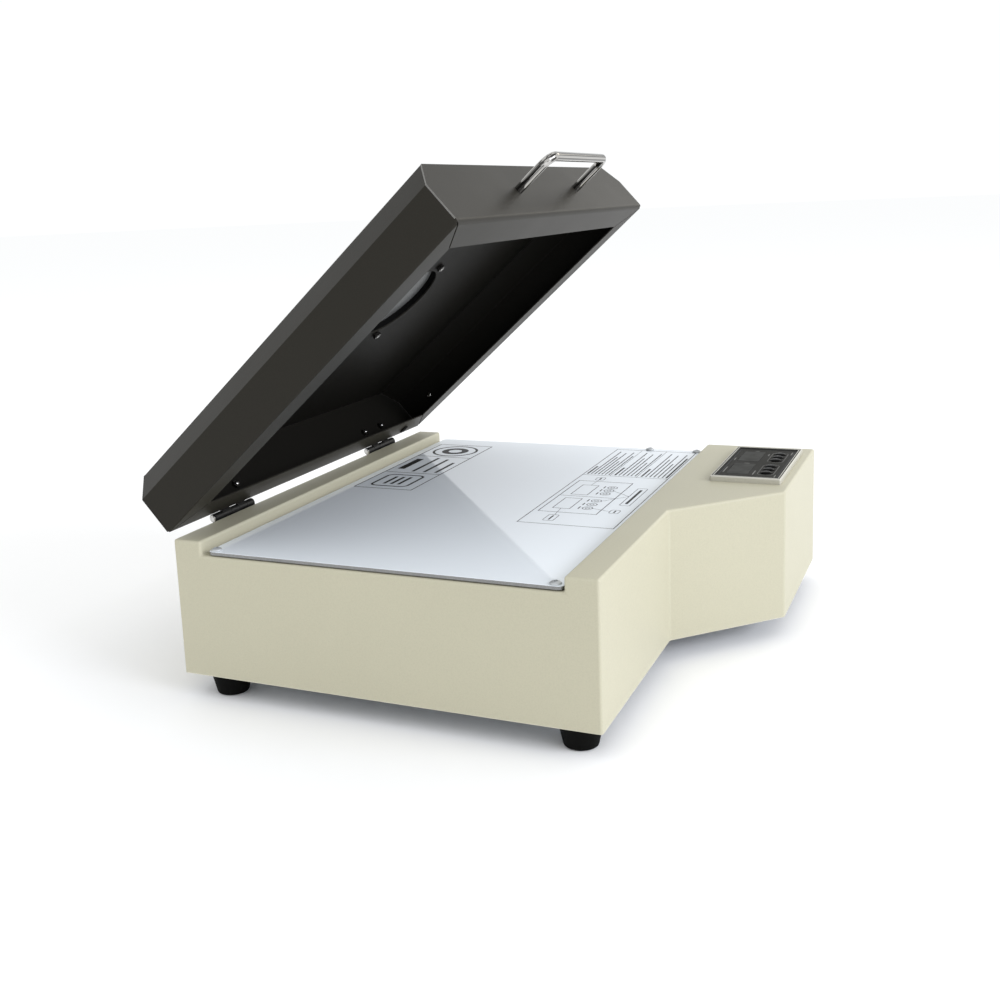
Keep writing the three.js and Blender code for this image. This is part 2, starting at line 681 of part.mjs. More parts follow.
// A round bar bent into a bow: two legs out of the cap and a grip between them
function buildHandle() {
  const half = HANDLE_PITCH / 2;
  const foot = LID_FRONT - SEAM;
  const out = LID_FRONT - HANDLE_REACH;
  const point = (x, y) => new THREE.Vector3(x, y, HANDLE_Z);
  const path = new THREE.CurvePath();
  path.add(new THREE.LineCurve3(point(-half, foot), point(-half, out + HANDLE_BEND)));
  path.add(new THREE.QuadraticBezierCurve3(
    point(-half, out + HANDLE_BEND), point(-half, out), point(-half + HANDLE_BEND, out),
  ));
  path.add(new THREE.LineCurve3(point(-half + HANDLE_BEND, out), point(half - HANDLE_BEND, out)));
  path.add(new THREE.QuadraticBezierCurve3(
    point(half - HANDLE_BEND, out), point(half, out), point(half, out + HANDLE_BEND),
  ));
  path.add(new THREE.LineCurve3(point(half, out + HANDLE_BEND), point(half, foot)));
  const bar = new THREE.ExtrudeGeometry(circle(HANDLE_R, 0, 0, 10), { steps: 36, extrudePath: path });
  place("handle", bar, "steel", lid);
}

function fanScrewPlaces() {
  const spots = [[FAN_SCREW_X, FAN_SCREW_Y], [FAN_SCREW_X, -FAN_SCREW_Y], [-FAN_SCREW_R, 0]];
  return spots.map(([x, y]) => [x, FAN_Y + y]);
}

// The vent fan: moulded frame with its motor base on three arms, baffle plate, rotor and finger guard
function buildFan() {
  const fan = new THREE.Group();
  fan.position.set(0, FAN_Y, LID_TOP + SEAM);
  lid.add(fan);
  const wallR = FAN_BORE_R + FAN_WALL;
  const body = turned([
    [FAN_BORE_R, 0], [FAN_FLANGE_R, 0], [FAN_FLANGE_R, FAN_FLANGE_T], [wallR, FAN_FLANGE_T],
    [wallR, FAN_H], [FAN_BORE_R, FAN_H], [FAN_BORE_R, 0],
  ], 32);
  const motorTop = FAN_H - 0.5;
  const motorLow = motorTop - MOTOR_T;
  const arms = Array.from({ length: ARMS }, (_, n) => (
    block([MOTOR_R - 3, -ARM_W / 2, motorLow], [FAN_BORE_R + 1, ARM_W / 2, motorTop])
      .rotateZ((n * 2 * Math.PI) / ARMS)
  ));
  const screwHoles = fanScrewPlaces().map(([x, y]) => rod(BORE_R, -2, 6, 10).translate(x, y - FAN_Y, 0));
  const frame = cut(join(body, rod(MOTOR_R, motorLow, motorTop, 20), ...arms), ...screwHoles);
  place("fan_frame", frame, "black", fan);

  const baffleLow = BAFFLE_RISE - LID_SHEET - SEAM;
  const vents = Array.from({ length: BAFFLE_HOLES }, (_, n) => {
    const angle = (n * 2 * Math.PI) / BAFFLE_HOLES;
    return circle(BAFFLE_HOLE_R, BAFFLE_RING_R * Math.cos(angle), BAFFLE_RING_R * Math.sin(angle), 8);
  });
  const disc = circle(FAN_BORE_R - 2 * SEAM, 0, 0, 32);
  place("fan_baffle", pierced(disc, vents, baffleLow, baffleLow + BAFFLE_T), "silver", fan);

  const hubLow = baffleLow + BAFFLE_T + 1.4;
  const hubHigh = motorLow - 0.6;
  const blades = Array.from({ length: BLADES }, (_, n) => (
    block([HUB_R - 2, -BLADE_T / 2, -BLADE_W / 2], [FAN_BORE_R - 2, BLADE_T / 2, BLADE_W / 2])
      .rotateX(BLADE_PITCH * RAD)
      .translate(0, 0, (hubLow + hubHigh) / 2)
      .rotateZ((n * 2 * Math.PI) / BLADES)
  ));
  place("fan_rotor", join(rod(HUB_R, hubLow, hubHigh, 20), ...blades), "black", fan);

  const guardLow = FAN_H + 2 * LAYER_GAP;
  const guardHigh = guardLow + GUARD_T;
  const wire = GUARD_WIRE / 2;
  const rings = GUARD_RINGS.map((r) => tube(r - wire, r + wire, guardLow, guardHigh, 20));
  const spokes = [0, 1].map((n) => (
    block([-GUARD_REACH, -wire, guardLow], [GUARD_REACH, wire, guardHigh]).rotateZ((n * 90 + 45) * RAD)
  ));
  place("fan_guard", join(...rings, ...spokes), "steel", fan);

  const [screwEnd, nutZ] = [-5.6, -3.4];
  fanScrewPlaces().forEach(([x, y], index) => {
    const screw = domedScrew(screwEnd, FAN_FLANGE_T + 2 * LAYER_GAP);
    const nut = new THREE.CylinderGeometry(NUT_R, NUT_R, NUT_T, 6).rotateX(Math.PI / 2);
    nut.translate(0, 0, nutZ);
    place(`fan_screw_${index + 1}`, join(screw, nut), "steel", fan, x, y - FAN_Y);
  });
}

lid.position.set(0, HINGE_Y, HINGE_Z);
lid.rotation.x = -LID_OPEN * RAD;

buildHousing();
buildCoverAndFeet();
buildPlaten();
buildController();
buildPower();
buildRelayAndTerminals();
buildHinges();
buildLidShell();
buildLidEnds();
buildHandle();
buildFan();

// The part's origin is on the floor, under the middle of the whole object with its lid open.
root.updateMatrixWorld(true);
const extent = new THREE.Box3().setFromObject(root, true);
const middle = extent.getCenter(new THREE.Vector3());
base.position.set(-middle.x, -middle.y, -extent.min.z);

export default root;
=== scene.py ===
"""The tabletop heat-drying press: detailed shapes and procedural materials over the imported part."""

import json
import math

import bmesh
import bpy
from mathutils import Matrix, Vector


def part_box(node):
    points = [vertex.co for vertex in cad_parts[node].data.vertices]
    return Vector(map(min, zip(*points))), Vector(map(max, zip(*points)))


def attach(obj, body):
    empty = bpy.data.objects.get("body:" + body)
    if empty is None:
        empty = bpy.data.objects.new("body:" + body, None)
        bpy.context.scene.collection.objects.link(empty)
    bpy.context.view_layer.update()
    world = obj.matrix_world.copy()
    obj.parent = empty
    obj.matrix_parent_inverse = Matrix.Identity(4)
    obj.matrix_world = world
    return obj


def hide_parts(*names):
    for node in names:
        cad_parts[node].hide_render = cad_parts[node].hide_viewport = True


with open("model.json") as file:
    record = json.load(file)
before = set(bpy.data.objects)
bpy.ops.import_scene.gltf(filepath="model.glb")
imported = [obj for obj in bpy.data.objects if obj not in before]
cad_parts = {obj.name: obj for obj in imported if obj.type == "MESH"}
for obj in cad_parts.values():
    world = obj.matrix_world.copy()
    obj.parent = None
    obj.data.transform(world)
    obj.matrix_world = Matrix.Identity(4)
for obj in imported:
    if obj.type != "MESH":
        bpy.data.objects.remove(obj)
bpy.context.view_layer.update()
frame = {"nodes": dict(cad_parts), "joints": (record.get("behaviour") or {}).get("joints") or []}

MM = 0.001


# Reference frames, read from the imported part, in millimetres.
# Base frame: x and y from the middle of the body, z from the housing's lower edge.
# Lid frame: on the hinge axis, x across, y along the lid towards the rear, z up when the lid is closed.

def node_box(name):
    low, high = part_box(name)
    return low / MM, high / MM


HOUSING_LOW, HOUSING_HIGH = node_box("base_housing")
PLATEN_LOW, PLATEN_HIGH = node_box("platen")
BODY_D = 370
BASE_Z = HOUSING_LOW.z
BASE_Y = HOUSING_HIGH.y - BODY_D / 2
JOINTS = {joint["name"]: joint for joint in frame["joints"]}
HINGE = Vector(JOINTS["lid_hinge"]["pos_m"]) / MM
LID_OPEN = math.radians(-JOINTS["lid_hinge"]["range_deg"][0])
ROCKER_AT = Vector(JOINTS["switch_rock"]["pos_m"]) / MM

TO_METRES = Matrix.Scale(MM, 4)
BASE = Matrix.Translation((0, BASE_Y, BASE_Z))
LID = Matrix.Translation(HINGE) @ Matrix.Rotation(-LID_OPEN, 4, "X")
TO_LID = (TO_METRES @ LID @ TO_METRES.inverted()).inverted()

# Base
BODY_W = HOUSING_HIGH.x - HOUSING_LOW.x
BODY_H = HOUSING_HIGH.z - BASE_Z
BOX_DEPTH = BASE_Y - BODY_D / 2 - HOUSING_LOW.y
BOX_START = -38.7
BOX_FRONT = 49.6
RAIL = 26.8
RECESS_D = BODY_D - 2 * RAIL
REAR_WALL = BODY_D / 2
LIP_Z = BODY_H - 11.9
LIP_SIDE = 14
LIP_RAIL = 9
SHEET = 1.5
BEND = 2.2

# Platen
PLATEN_Z = PLATEN_LOW.z - BASE_Z
PLATEN_TOP = PLATEN_HIGH.z - BASE_Z
PLATEN_W = PLATEN_HIGH.x - PLATEN_LOW.x
PLATEN_D = PLATEN_HIGH.y - PLATEN_LOW.y
PLATEN_Y = (PLATEN_HIGH.y + PLATEN_LOW.y) / 2 - BASE_Y
PLATEN_CORNER = 5
PLATEN_EDGE = 0.45
PLATEN_SCREWS = 4
PLATEN_SCREW_H = 2.6

# Controller
PANEL_X = 140.5
PANEL_Y = -228
BEZEL = (136, 65)
BEZEL_H = 4.9
FACE = (126, 58.6)
FACE_TOP = BODY_H + 3.7
PANEL_PLATE = (FACE[0] - 2.6, FACE[1] - 2.6)
PANEL_SPACE = BASE @ Matrix.Translation((PANEL_X, PANEL_Y, 0))
GROUP_X = 27
KEY_PITCH = 13.4
KEY_Y = -14.7
KEY_R = 5.6
KEY_HOLE_R = 5.95
DISPLAY = (44, 21)
DISPLAY_Y = 11
MARK = 0.9
MARKS_ALONG_X = [(41, 53, -25), (-56, -46, -24.5), (33, 41, -4.2), (-49, -33, -3.6), (9, 18, 24.6),
                 (-44, -22, 24.8)]
MARKS_ALONG_Y = [(52, 7.5, 11.5), (-3, 7.5, 12.5)]

# Lid
LID_W = 472
LID_REAR = -4.2
LID_FRONT = LID_REAR - 371.2
LID_UNDER = 2.4
LID_KNEE = LID_UNDER + 36.1
LID_TOP = LID_UNDER + 56
LID_CHAMFER = 20.6
LID_SHEET = 1.2
LID_FLANGE = 28.8
LID_BEND = 2.0
CAP_BEND = 4.0
REAR_BEND = 1.5
SEAM = 0.3
MITRE_GAP = 0.6

# Hinges
HINGE_X = 142
HINGE_W = 60
KNUCKLES = 5
KNUCKLE_R = 3.8
LEAF_T = 2
LEAF_H = 26
LEAF_BACK = -4.1
HINGE_SCREW_X = 19
HINGE_SCREW_Z = 19.4

# Handle
HANDLE_PITCH = 146
HANDLE_REACH = 39
HANDLE_R = 4
HANDLE_BEND = 11
HANDLE_Z = (LID_UNDER + LID_TOP) / 2

# Fan
FAN_Y = LID_REAR - 193
FAN_HOLE_R = 43
FAN_BORE_R = 43.2
FAN_FLANGE_R = 56
FAN_FLANGE_T = 2.5
FAN_H = 25
FAN_SCREWS = [(12, 48), (12, -48), (-49.5, 0)]

# Rear power fittings
POWER_Z = 46
INLET_X = 165
INLET_HALF = (13.6, 9.6)
INLET_SCREW_X = 18.4
SWITCH_X = ROCKER_AT.x
SWITCH_HALF = (9.6, 13.6)
WALL_CUT_GAP = 0.4

# Fixings
SHANK_R = 1.9
DRIVE_DEPTH = 0.62
NUT_HOLE_R = 1.95
HINGE_HOLE_R = 2.2
FAN_SCREW_HOLE_R = 2.3
SHARP_ANGLE = 38
CUT = 5


# Materials

class Look:
    """A procedural material: one Principled shader with patterns in metres on object coordinates."""

    def __init__(self, name, color, roughness, metallic=0.0, **sockets):
        self.material = bpy.data.materials.new(name)
        self.material.use_nodes = True
        self.tree = self.material.node_tree
        self.shader = self.tree.nodes["Principled BSDF"]
        self.shader.inputs["Base Color"].default_value = (*color, 1)
        self.shader.inputs["Roughness"].default_value = roughness
        self.shader.inputs["Metallic"].default_value = metallic
        for socket, value in sockets.items():
            self.shader.inputs[socket.replace("_", " ")].default_value = value
        self.height = None
        self.coords = self.node("ShaderNodeTexCoord").outputs["Object"]

    def node(self, kind, **settings):
        made = self.tree.nodes.new(kind)
        for key, value in settings.items():
            setattr(made, key, value)
        return made

    def link(self, source, target):
        self.tree.links.new(source, target)

    def feed(self, name, target):
        """Hands what reaches one of the shader's sockets, a link or a number, to another node's socket."""
        socket = self.shader.inputs[name]
        if socket.is_linked:
            self.link(socket.links[0].from_socket, target)
        else:
            target.default_value = socket.default_value

    def noise(self, scale, detail, stretch=None, around=False):
        """Noise in place, or, to keep it the same along a bar, by the way the surface faces on the piece."""
        made = self.node("ShaderNodeTexNoise")
        made.inputs["Scale"].default_value = scale
        made.inputs["Detail"].default_value = detail
        source = self.coords.node.outputs["Normal"] if around else self.coords
        self.link(self.stretched(stretch) if stretch else source, made.inputs["Vector"])
        return made.outputs["Fac"]

    def stretched(self, scale):
        made = self.node("ShaderNodeMapping")
        made.inputs["Scale"].default_value = scale
        self.link(self.coords, made.inputs["Vector"])
        return made.outputs["Vector"]

    def cells(self, scale):
        made = self.node("ShaderNodeTexVoronoi")
        made.inputs["Scale"].default_value = scale
        self.link(self.coords, made.inputs["Vector"])
        return made.outputs["Distance"]

    def window(self, value, low, high, out_low=0.0, out_high=1.0):
        """Stretches the part of a pattern between low and high over another range."""
        made = self.node("ShaderNodeMapRange")
        self.link(value, made.inputs["Value"])
        limits = {"From Min": low, "From Max": high, "To Min": out_low, "To Max": out_high}
        for socket, number in limits.items():
            made.inputs[socket].default_value = number
        return made.outputs["Result"]

    def math(self, operation, *items):
        made = self.node("ShaderNodeMath", operation=operation)
        for socket, item in zip(made.inputs, items):
            if isinstance(item, (int, float)):
                socket.default_value = item
            else:
                self.link(item, socket)
        return made.outputs[0]

    def edges(self, radius, reach):
        """A mask that is 1 along edges and bends and 0 on flats."""
        bevel = self.node("ShaderNodeBevel", samples=4)
        bevel.inputs["Radius"].default_value = radius
        geometry = self.node("ShaderNodeNewGeometry")
        dot = self.node("ShaderNodeVectorMath", operation="DOT_PRODUCT")
        self.link(bevel.outputs["Normal"], dot.inputs[0])
        self.link(geometry.outputs["Normal"], dot.inputs[1])
        return self.window(dot.outputs["Value"], 1.0, 1.0 - reach)

    def mix(self, factor, rgb, blend):
        made = self.node("ShaderNodeMix", data_type="RGBA", blend_type=blend)
        first, second = made.inputs["A"], made.inputs["B"]
        self.link(factor, made.inputs["Factor"])
        self.feed("Base Color", first)
        second.default_value = (*rgb, 1)
        self.link(made.outputs["Result"], self.shader.inputs["Base Color"])

    def tint(self, factor, rgb):
        """Mixes a colour in where the factor is 1."""
        self.mix(factor, rgb, "MIX")

    def shade(self, factor, darkest):
        """Darkens the colour towards a share of itself where the factor is 1."""
        self.mix(factor, (darkest, darkest, darkest), "MULTIPLY")

    def roughen(self, factor, amount):
        made = self.node("ShaderNodeMath", operation="MULTIPLY_ADD")
        self.link(factor, made.inputs[0])
        made.inputs[1].default_value = amount
        self.feed("Roughness", made.inputs[2])
        self.link(made.outputs[0], self.shader.inputs["Roughness"])

    def raise_by(self, height, amount):
        """Adds relief: a pattern from 0 to 1 that stands up by an amount in metres."""
        if self.height is None:
            self.height = self.math("MULTIPLY", height, amount)
        else:
            self.height = self.math("MULTIPLY_ADD", height, amount, self.height)

    def done(self):
        bump = self.node("ShaderNodeBump")
        bump.inputs["Distance"].default_value = 1.0
        self.link(self.height, bump.inputs["Height"])
        self.link(bump.outputs["Normal"], self.shader.inputs["Normal"])
        return self.material


def powder_coat(name, color, worn_and_lit, roughness, wear_and_highlight, grain=750, peel=800, **sockets):
    """Powder coat: orange peel and fine grain, a slight mottle, and paler edges and bends, which are partly
    wear and partly a painted highlight.
    """
    look = Look(name, color, roughness, **sockets)
    look.shade(look.window(look.noise(5, 3), 0.35, 0.75, 0.0, 0.35), 0.9)
    speckle = look.noise(grain, 2)
    look.shade(look.window(speckle, 0.4, 0.7, 0.0, 0.3), 0.83)
    # Paler colour along edges and bends: partly wear, partly a painted highlight on the bends.
    rubbed = look.window(look.noise(45, 3), 0.3, 0.62, 0.35 * wear_and_highlight, wear_and_highlight)
    look.tint(look.math("MULTIPLY", look.edges(0.0016, 0.35), rubbed), worn_and_lit)
    look.roughen(look.window(look.noise(9, 3), 0.3, 0.7, -1, 1), 0.02)
    look.raise_by(look.noise(peel, 1), 0.00005)
    look.raise_by(speckle, 0.00002)
    return look.done()


def brushed(name, color, roughness, direction, metallic=1.0, contrast=0.72):
    """Brushed or drawn metal with streaks along one axis."""
    look = Look(name, color, roughness, metallic)
    streaks = look.noise(1, 3, [6 if axis == direction else 1400 for axis in "xyz"])
    look.shade(look.window(streaks, 0.35, 0.7), contrast)
    look.roughen(look.window(streaks, 0.3, 0.7, -1, 1), 0.06)
    look.shade(look.window(look.noise(22, 3), 0.45, 0.8, 0, 0.5), 0.7)
    look.raise_by(streaks, 0.00001)
    return look.done()


def polished():
    """Polished round bar with dark and pale bands along it, which are painted reflections set by the way the
    surface faces, and fine streaks.
    """
    look = Look("polished_bar_painted_reflections", (0.56, 0.545, 0.52), 0.12, 1.0)
    # Broad dark band by surface direction: a painted reflection.
    look.shade(look.window(look.noise(2.6, 1, around=True), 0.46, 0.56), 0.13)
    streaks = look.noise(9, 3, around=True)
    look.shade(look.window(streaks, 0.35, 0.7), 0.75)
    look.roughen(look.window(streaks, 0.3, 0.7, -1, 1), 0.04)
    look.raise_by(streaks, 0.000004)
    return look.done()


def moulded(name, color, roughness, grain=1500, depth=0.00002, **sockets):
    """Moulded plastic or rubber: fine spark-eroded grain and slightly polished edges."""
    look = Look(name, color, roughness, **sockets)
    texture = look.noise(grain, 3)
    look.shade(look.window(texture, 0.35, 0.7, 0, 0.5), 0.75)
    rubbed = [min(1, c * 1.8 + 0.03) for c in color]
    look.tint(look.window(look.edges(0.0006, 0.5), 0, 1, 0, 0.25), rubbed)
    look.roughen(look.window(look.noise(35, 3), 0.3, 0.7, -1, 1), 0.06)
    look.raise_by(texture, depth)
    return look.done()


def platen_enamel():
    """White enamel with a faint ripple and rubbed patches."""
    look = Look("platen_enamel", (0.85, 0.90, 0.945), 0.03, Specular_IOR_Level=0.13)
    look.shade(look.window(look.noise(4, 2), 0.4, 0.7, 0, 0.3), 0.94)
    look.roughen(look.window(look.noise(14, 4), 0.35, 0.75), 0.03)
    look.raise_by(look.noise(18, 1), 0.00001)
    look.raise_by(look.noise(420, 1), 0.000003)
    return look.done()


def ink(name, color):
    """Screen-printed ink, slightly thin in places."""
    look = Look(name, color, 0.42, Specular_IOR_Level=0.08)
    look.tint(look.window(look.noise(900, 2), 0.6, 0.85, 0, 0.2), [c * 0.6 + 0.15 for c in color])
    look.raise_by(look.noise(1400, 1), 0.00001)
    return look.done()


def display_tint():
    """Smoked acrylic over the displays."""
    look = Look("display_tint", (0.046, 0.0462, 0.0425), 0.5, Specular_IOR_Level=0.04)
    look.shade(look.window(look.noise(60, 2), 0.4, 0.7, 0, 0.4), 0.7)
    look.roughen(look.window(look.noise(90, 4), 0.45, 0.8), 0.12)
    look.raise_by(look.noise(30, 1), 0.00004)
    return look.done()


def mineral_wool():
    look = Look("mineral_wool", (0.62, 0.55, 0.32), 0.95)
    strands = look.noise(1, 4, (90, 700, 700))
    look.shade(look.window(strands, 0.35, 0.7), 0.55)
    look.raise_by(strands, 0.0006)
    return look.done()


def heater_silicone():
    """Glass-cloth silicone with its woven relief."""
    look = Look("heater_silicone", (0.42, 0.11, 0.045), 0.75)
    look.shade(look.window(look.noise(12, 3), 0.4, 0.7), 0.8)
    look.raise_by(look.cells(260), 0.0003)
    return look.done()


def galvanised():
    """Zinc spangle and dull patches."""
    look = Look("zinc_sheet", (0.46, 0.49, 0.52), 0.42, 0.9)
    look.shade(look.window(look.cells(55), 0.0, 0.7), 0.75)
    look.roughen(look.window(look.noise(30, 3), 0.3, 0.7, -1, 1), 0.1)
    look.shade(look.window(look.noise(3, 3), 0.5, 0.8, 0, 0.6), 0.7)
    look.raise_by(look.noise(600, 2), 0.00001)
    return look.done()


BEIGE = powder_coat("beige_powder_coat", (0.52, 0.497, 0.375), (0.86, 0.84, 0.74), 0.46, 0.9, 800, 520,
                    Specular_IOR_Level=0.3)
CHARCOAL = powder_coat("charcoal_powder_coat", (0.0215, 0.0196, 0.0152), (0.10, 0.096, 0.088), 0.42, 0.2,
                       Specular_IOR_Level=0.12)
# A darker copy of the charcoal coat for the faces inside the lid's hollow: painted shade.
CHARCOAL_SHADED_INSIDE = powder_coat("charcoal_inside_painted_shade", (0.0105, 0.0098, 0.0082), (0.10, 0.097, 0.09), 0.45, 0.4,
                              Specular_IOR_Level=0.05)
# A much paler copy of the charcoal coat for the cap's cut rim: partly a worn edge, partly a painted
# highlight.
CHARCOAL_RIM_WORN_AND_LIT = powder_coat("charcoal_rim_wear_and_highlight", (0.13, 0.128, 0.12), (0.40, 0.39, 0.37), 0.4, 0.9,
                           Specular_IOR_Level=0.2)
POLISHED = polished()
PLATED = moulded("plated_screw", (0.50, 0.52, 0.53), 0.3, 2200, 0.00001, Metallic=0.25)
STEEL_X = brushed("stainless_along_x", (0.62, 0.61, 0.59), 0.16, "x")
STEEL = brushed("stainless_turned", (0.60, 0.59, 0.57), 0.24, "z")
EDGE_METAL = brushed("platen_bare_edge", (0.30, 0.30, 0.295), 0.38, "x")
DARK_STEEL = brushed("blackened_nut", (0.10, 0.096, 0.09), 0.35, "z")
ALUMINIUM = brushed("brushed_aluminium", (0.20, 0.202, 0.198), 0.45, "y", metallic=0.3, contrast=0.4)
SILVER = moulded("bezel_silver", (0.57, 0.555, 0.485), 0.34, 1800, 0.00001, Metallic=0.35)
BLACK = moulded("black_plastic", (0.003, 0.003, 0.003), 0.6, Specular_IOR_Level=0.08)
HINGE_BLACK = moulded("hinge_black", (0.006, 0.0058, 0.0055), 0.4, 1200, Specular_IOR_Level=0.3)
RUBBER = moulded("foot_rubber", (0.003, 0.003, 0.0025), 0.72, 900, 0.00005, Specular_IOR_Level=0.08)
PANEL = moulded("panel_charcoal", (0.040, 0.0395, 0.036), 0.65, 2200, 0.00001, Specular_IOR_Level=0.04)
KEY_BLACK = moulded("key_black", (0.003, 0.003, 0.003), 0.16, 1500, 0.00001, Specular_IOR_Level=0.03)
RED = moulded("rocker_red", (0.42, 0.018, 0.014), 0.33)
ENAMEL = platen_enamel()
INK = ink("print_black", (0.004, 0.004, 0.006))
PALE_INK = ink("print_pale", (0.20, 0.198, 0.185))
WHITE_INK = ink("print_white", (0.70, 0.70, 0.68))
WINDOW = display_tint()
WOOL = mineral_wool()
SILICONE = heater_silicone()
ZINC = galvanised()


# Mesh helpers, in millimetres

def fillet(points, radii, steps=5, closed=False):
    """A polyline with each corner replaced by an arc of its radius."""
    count = len(points)
    result = []
    for i, here in enumerate(points):
        radius = radii[i] if isinstance(radii, (list, tuple)) else radii
        ends = not closed and i in (0, count - 1)
        here = Vector(here)
        if ends or radius <= 0:
            result.append(here)
            continue
        to_last = (Vector(points[i - 1]) - here).normalized()
        to_next = (Vector(points[(i + 1) % count]) - here).normalized()
        half = to_last.angle(to_next) / 2
        reach = radius / math.tan(half)
        centre = here + (to_last + to_next).normalized() * (radius / math.sin(half))
        start, end = here + to_last * reach, here + to_next * reach
        sweep = math.pi - 2 * half
        a, b = start - centre, end - centre
        for n in range(steps + 1):
            t = n / steps
            weight_a = math.sin((1 - t) * sweep) / math.sin(sweep)
            weight_b = math.sin(t * sweep) / math.sin(sweep)
            result.append(centre + a * weight_a + b * weight_b)
    return result


def circle(radius, x=0.0, y=0.0, sides=48):
    angles = [2 * math.pi * n / sides for n in range(sides)]
    return [Vector((x + radius * math.cos(angle), y + radius * math.sin(angle))) for angle in angles]


def rounded_rect(width, depth, radius, x=0.0, y=0.0, steps=5):
    w, d = width / 2, depth / 2
    corners = [(x + w, y + d), (x - w, y + d), (x - w, y - d), (x + w, y - d)]
    return fillet(corners, max(radius, 0.05), steps, closed=True)


def at_height(ring, z):
    return [Vector((p.x, p.y, z)) for p in ring]


def loft(rings, loop=False, bm=None):
    """Skins a list of closed rings of points, and caps the two ends or joins them in a loop."""
    bm = bm or bmesh.new()
    grid = [[bm.verts.new(point) for point in ring] for ring in rings]
    pairs = list(zip(grid, grid[1:])) + ([(grid[-1], grid[0])] if loop else [])
    for low, high in pairs:
        for n in range(len(low)):
            m = (n + 1) % len(low)
            bm.faces.new((low[n], low[m], high[m], high[n]))
    if not loop:
        bm.faces.new(list(reversed(grid[0])))
        bm.faces.new(grid[-1])
    return bm


def prism(ring, low, high, bm=None):
    """A straight solid of an outline."""
    return loft([at_height(ring, low), at_height(ring, high)], bm=bm)


def hoop(outer, inner, low, high, bm=None):
    """A straight-sided band between two outlines."""
    levels = ((outer, low), (outer, high), (inner, high), (inner, low))
    return loft([at_height(ring, z) for ring, z in levels], True, bm)


def bore(radius, low, high, sides=24):
    """A round cutter along Z."""
    return prism(circle(radius, sides=sides), low, high)


def lathe(profile, sides=48, loop=False, bm=None):
    """Turns [radius, height] points about Z. Radii are kept just off the axis, and the ends are capped."""
    return loft([at_height(circle(max(r, 0.02), sides=sides), z) for r, z in profile], loop, bm)


def slab(ring, low, high, edge, steps=3):
    """A plate of an outline with rounded upper and lower edges."""
    middle = sum((Vector(p) for p in ring), Vector((0, 0))) / len(ring)
    width = max(p.x for p in ring) - min(p.x for p in ring)
    depth = max(p.y for p in ring) - min(p.y for p in ring)

    def shrunk(inset):
        sx, sy = 1 - 2 * inset / width, 1 - 2 * inset / depth
        return [Vector((middle.x + (p.x - middle.x) * sx, middle.y + (p.y - middle.y) * sy)) for p in ring]

    quarter = [math.pi / 2 * n / steps for n in range(steps + 1)]
    levels = [(edge * (1 - math.sin(angle)), low + edge * (1 - math.cos(angle))) for angle in quarter]
    levels += [(edge * (1 - math.cos(angle)), high - edge * (1 - math.sin(angle))) for angle in quarter]
    return loft([at_height(shrunk(inset), z) for inset, z in levels])


def round_off(bm, edges, width, segments=2):
    bmesh.ops.bevel(bm, geom=edges, offset=width, segments=segments, profile=0.5, affect="EDGES")


def block(low, high, edge=0.0, bm=None):
    """A box. An edge above 0 rounds its edges."""
    made = bmesh.new()
    low, high = Vector(low), Vector(high)
    bmesh.ops.create_cube(made, size=1)
    size, middle = high - low, (high + low) / 2
    for vert in made.verts:
        vert.co = Vector(c * s for c, s in zip(vert.co, size)) + middle
    if edge > 0:
        round_off(made, list(made.edges), edge)
    return merged(bm, made) if bm else made


def merged(target, *parts):
    """Adds other meshes to a mesh."""
    for part in parts:
        scratch = bpy.data.meshes.new("scratch")
        part.to_mesh(scratch)
        part.free()
        target.from_mesh(scratch)
        bpy.data.meshes.remove(scratch)
    return target


def moved(bm, matrix):
    bm.transform(matrix)
    return bm


def shift(x, y, z):
    return Matrix.Translation((x, y, z))


def turn(degrees, axis):
    return Matrix.Rotation(math.radians(degrees), 4, axis)


FACING_DOWN = turn(180, "X")
FACING_REAR = turn(-90, "X")


def tube_along(points, radius, sides=20, bm=None):
    """A round bar along a 3-D polyline, with its frame carried without twist."""
    rings, side = [], None
    for i, point in enumerate(points):
        ahead = points[min(i + 1, len(points) - 1)] - points[max(i - 1, 0)]
        ahead.normalize()
        side = ahead.orthogonal() if side is None else side - ahead * side.dot(ahead)
        side.normalize()
        other = ahead.cross(side)
        rings.append([point + radius * (side * math.cos(a) + other * math.sin(a))
                      for a in (2 * math.pi * n / sides for n in range(sides))])
    return loft(rings, bm=bm)


def torus(radius, wire, z, bm):
    """A wire ring about Z."""
    section = [(p.x, p.y) for p in circle(wire, radius, z, 10)]
    return lathe(section, 64, loop=True, bm=bm)


def soften(bm, width, angle=40):
    """Rounds every edge sharper than an angle."""
    limit = math.radians(angle)
    sharp = [e for e in bm.edges if len(e.link_faces) == 2 and e.calc_face_angle(0) > limit]
    bmesh.ops.bevel(bm, geom=sharp, offset=width, segments=2, profile=0.5, affect="EDGES", clamp_overlap=True)
    return bm


def scratch_object(bm):
    mesh = bpy.data.meshes.new("scratch")
    bm.to_mesh(mesh)
    bm.free()
    made = bpy.data.objects.new("scratch", mesh)
    bpy.context.scene.collection.objects.link(made)
    return made


def evaluated(target, *others):
    """The mesh of an object with its modifiers applied; all the objects given are then removed."""
    result = bmesh.new()
    shown = target.evaluated_get(bpy.context.evaluated_depsgraph_get())
    result.from_mesh(shown.to_mesh())
    for used in (target, *others):
        mesh = used.data
        bpy.data.objects.remove(used)
        bpy.data.meshes.remove(mesh)
    return result


def carve(bm, *tools, operation="DIFFERENCE"):
    """Cuts other solids out of a solid."""
    target = scratch_object(bm)
    cutters = [scratch_object(tool) for tool in tools]
    for cutter in cutters:
        boolean = target.modifiers.new("cut", "BOOLEAN")
        boolean.operation = operation
        boolean.solver = "EXACT"
        boolean.object = cutter
    return evaluated(target, *cutters)


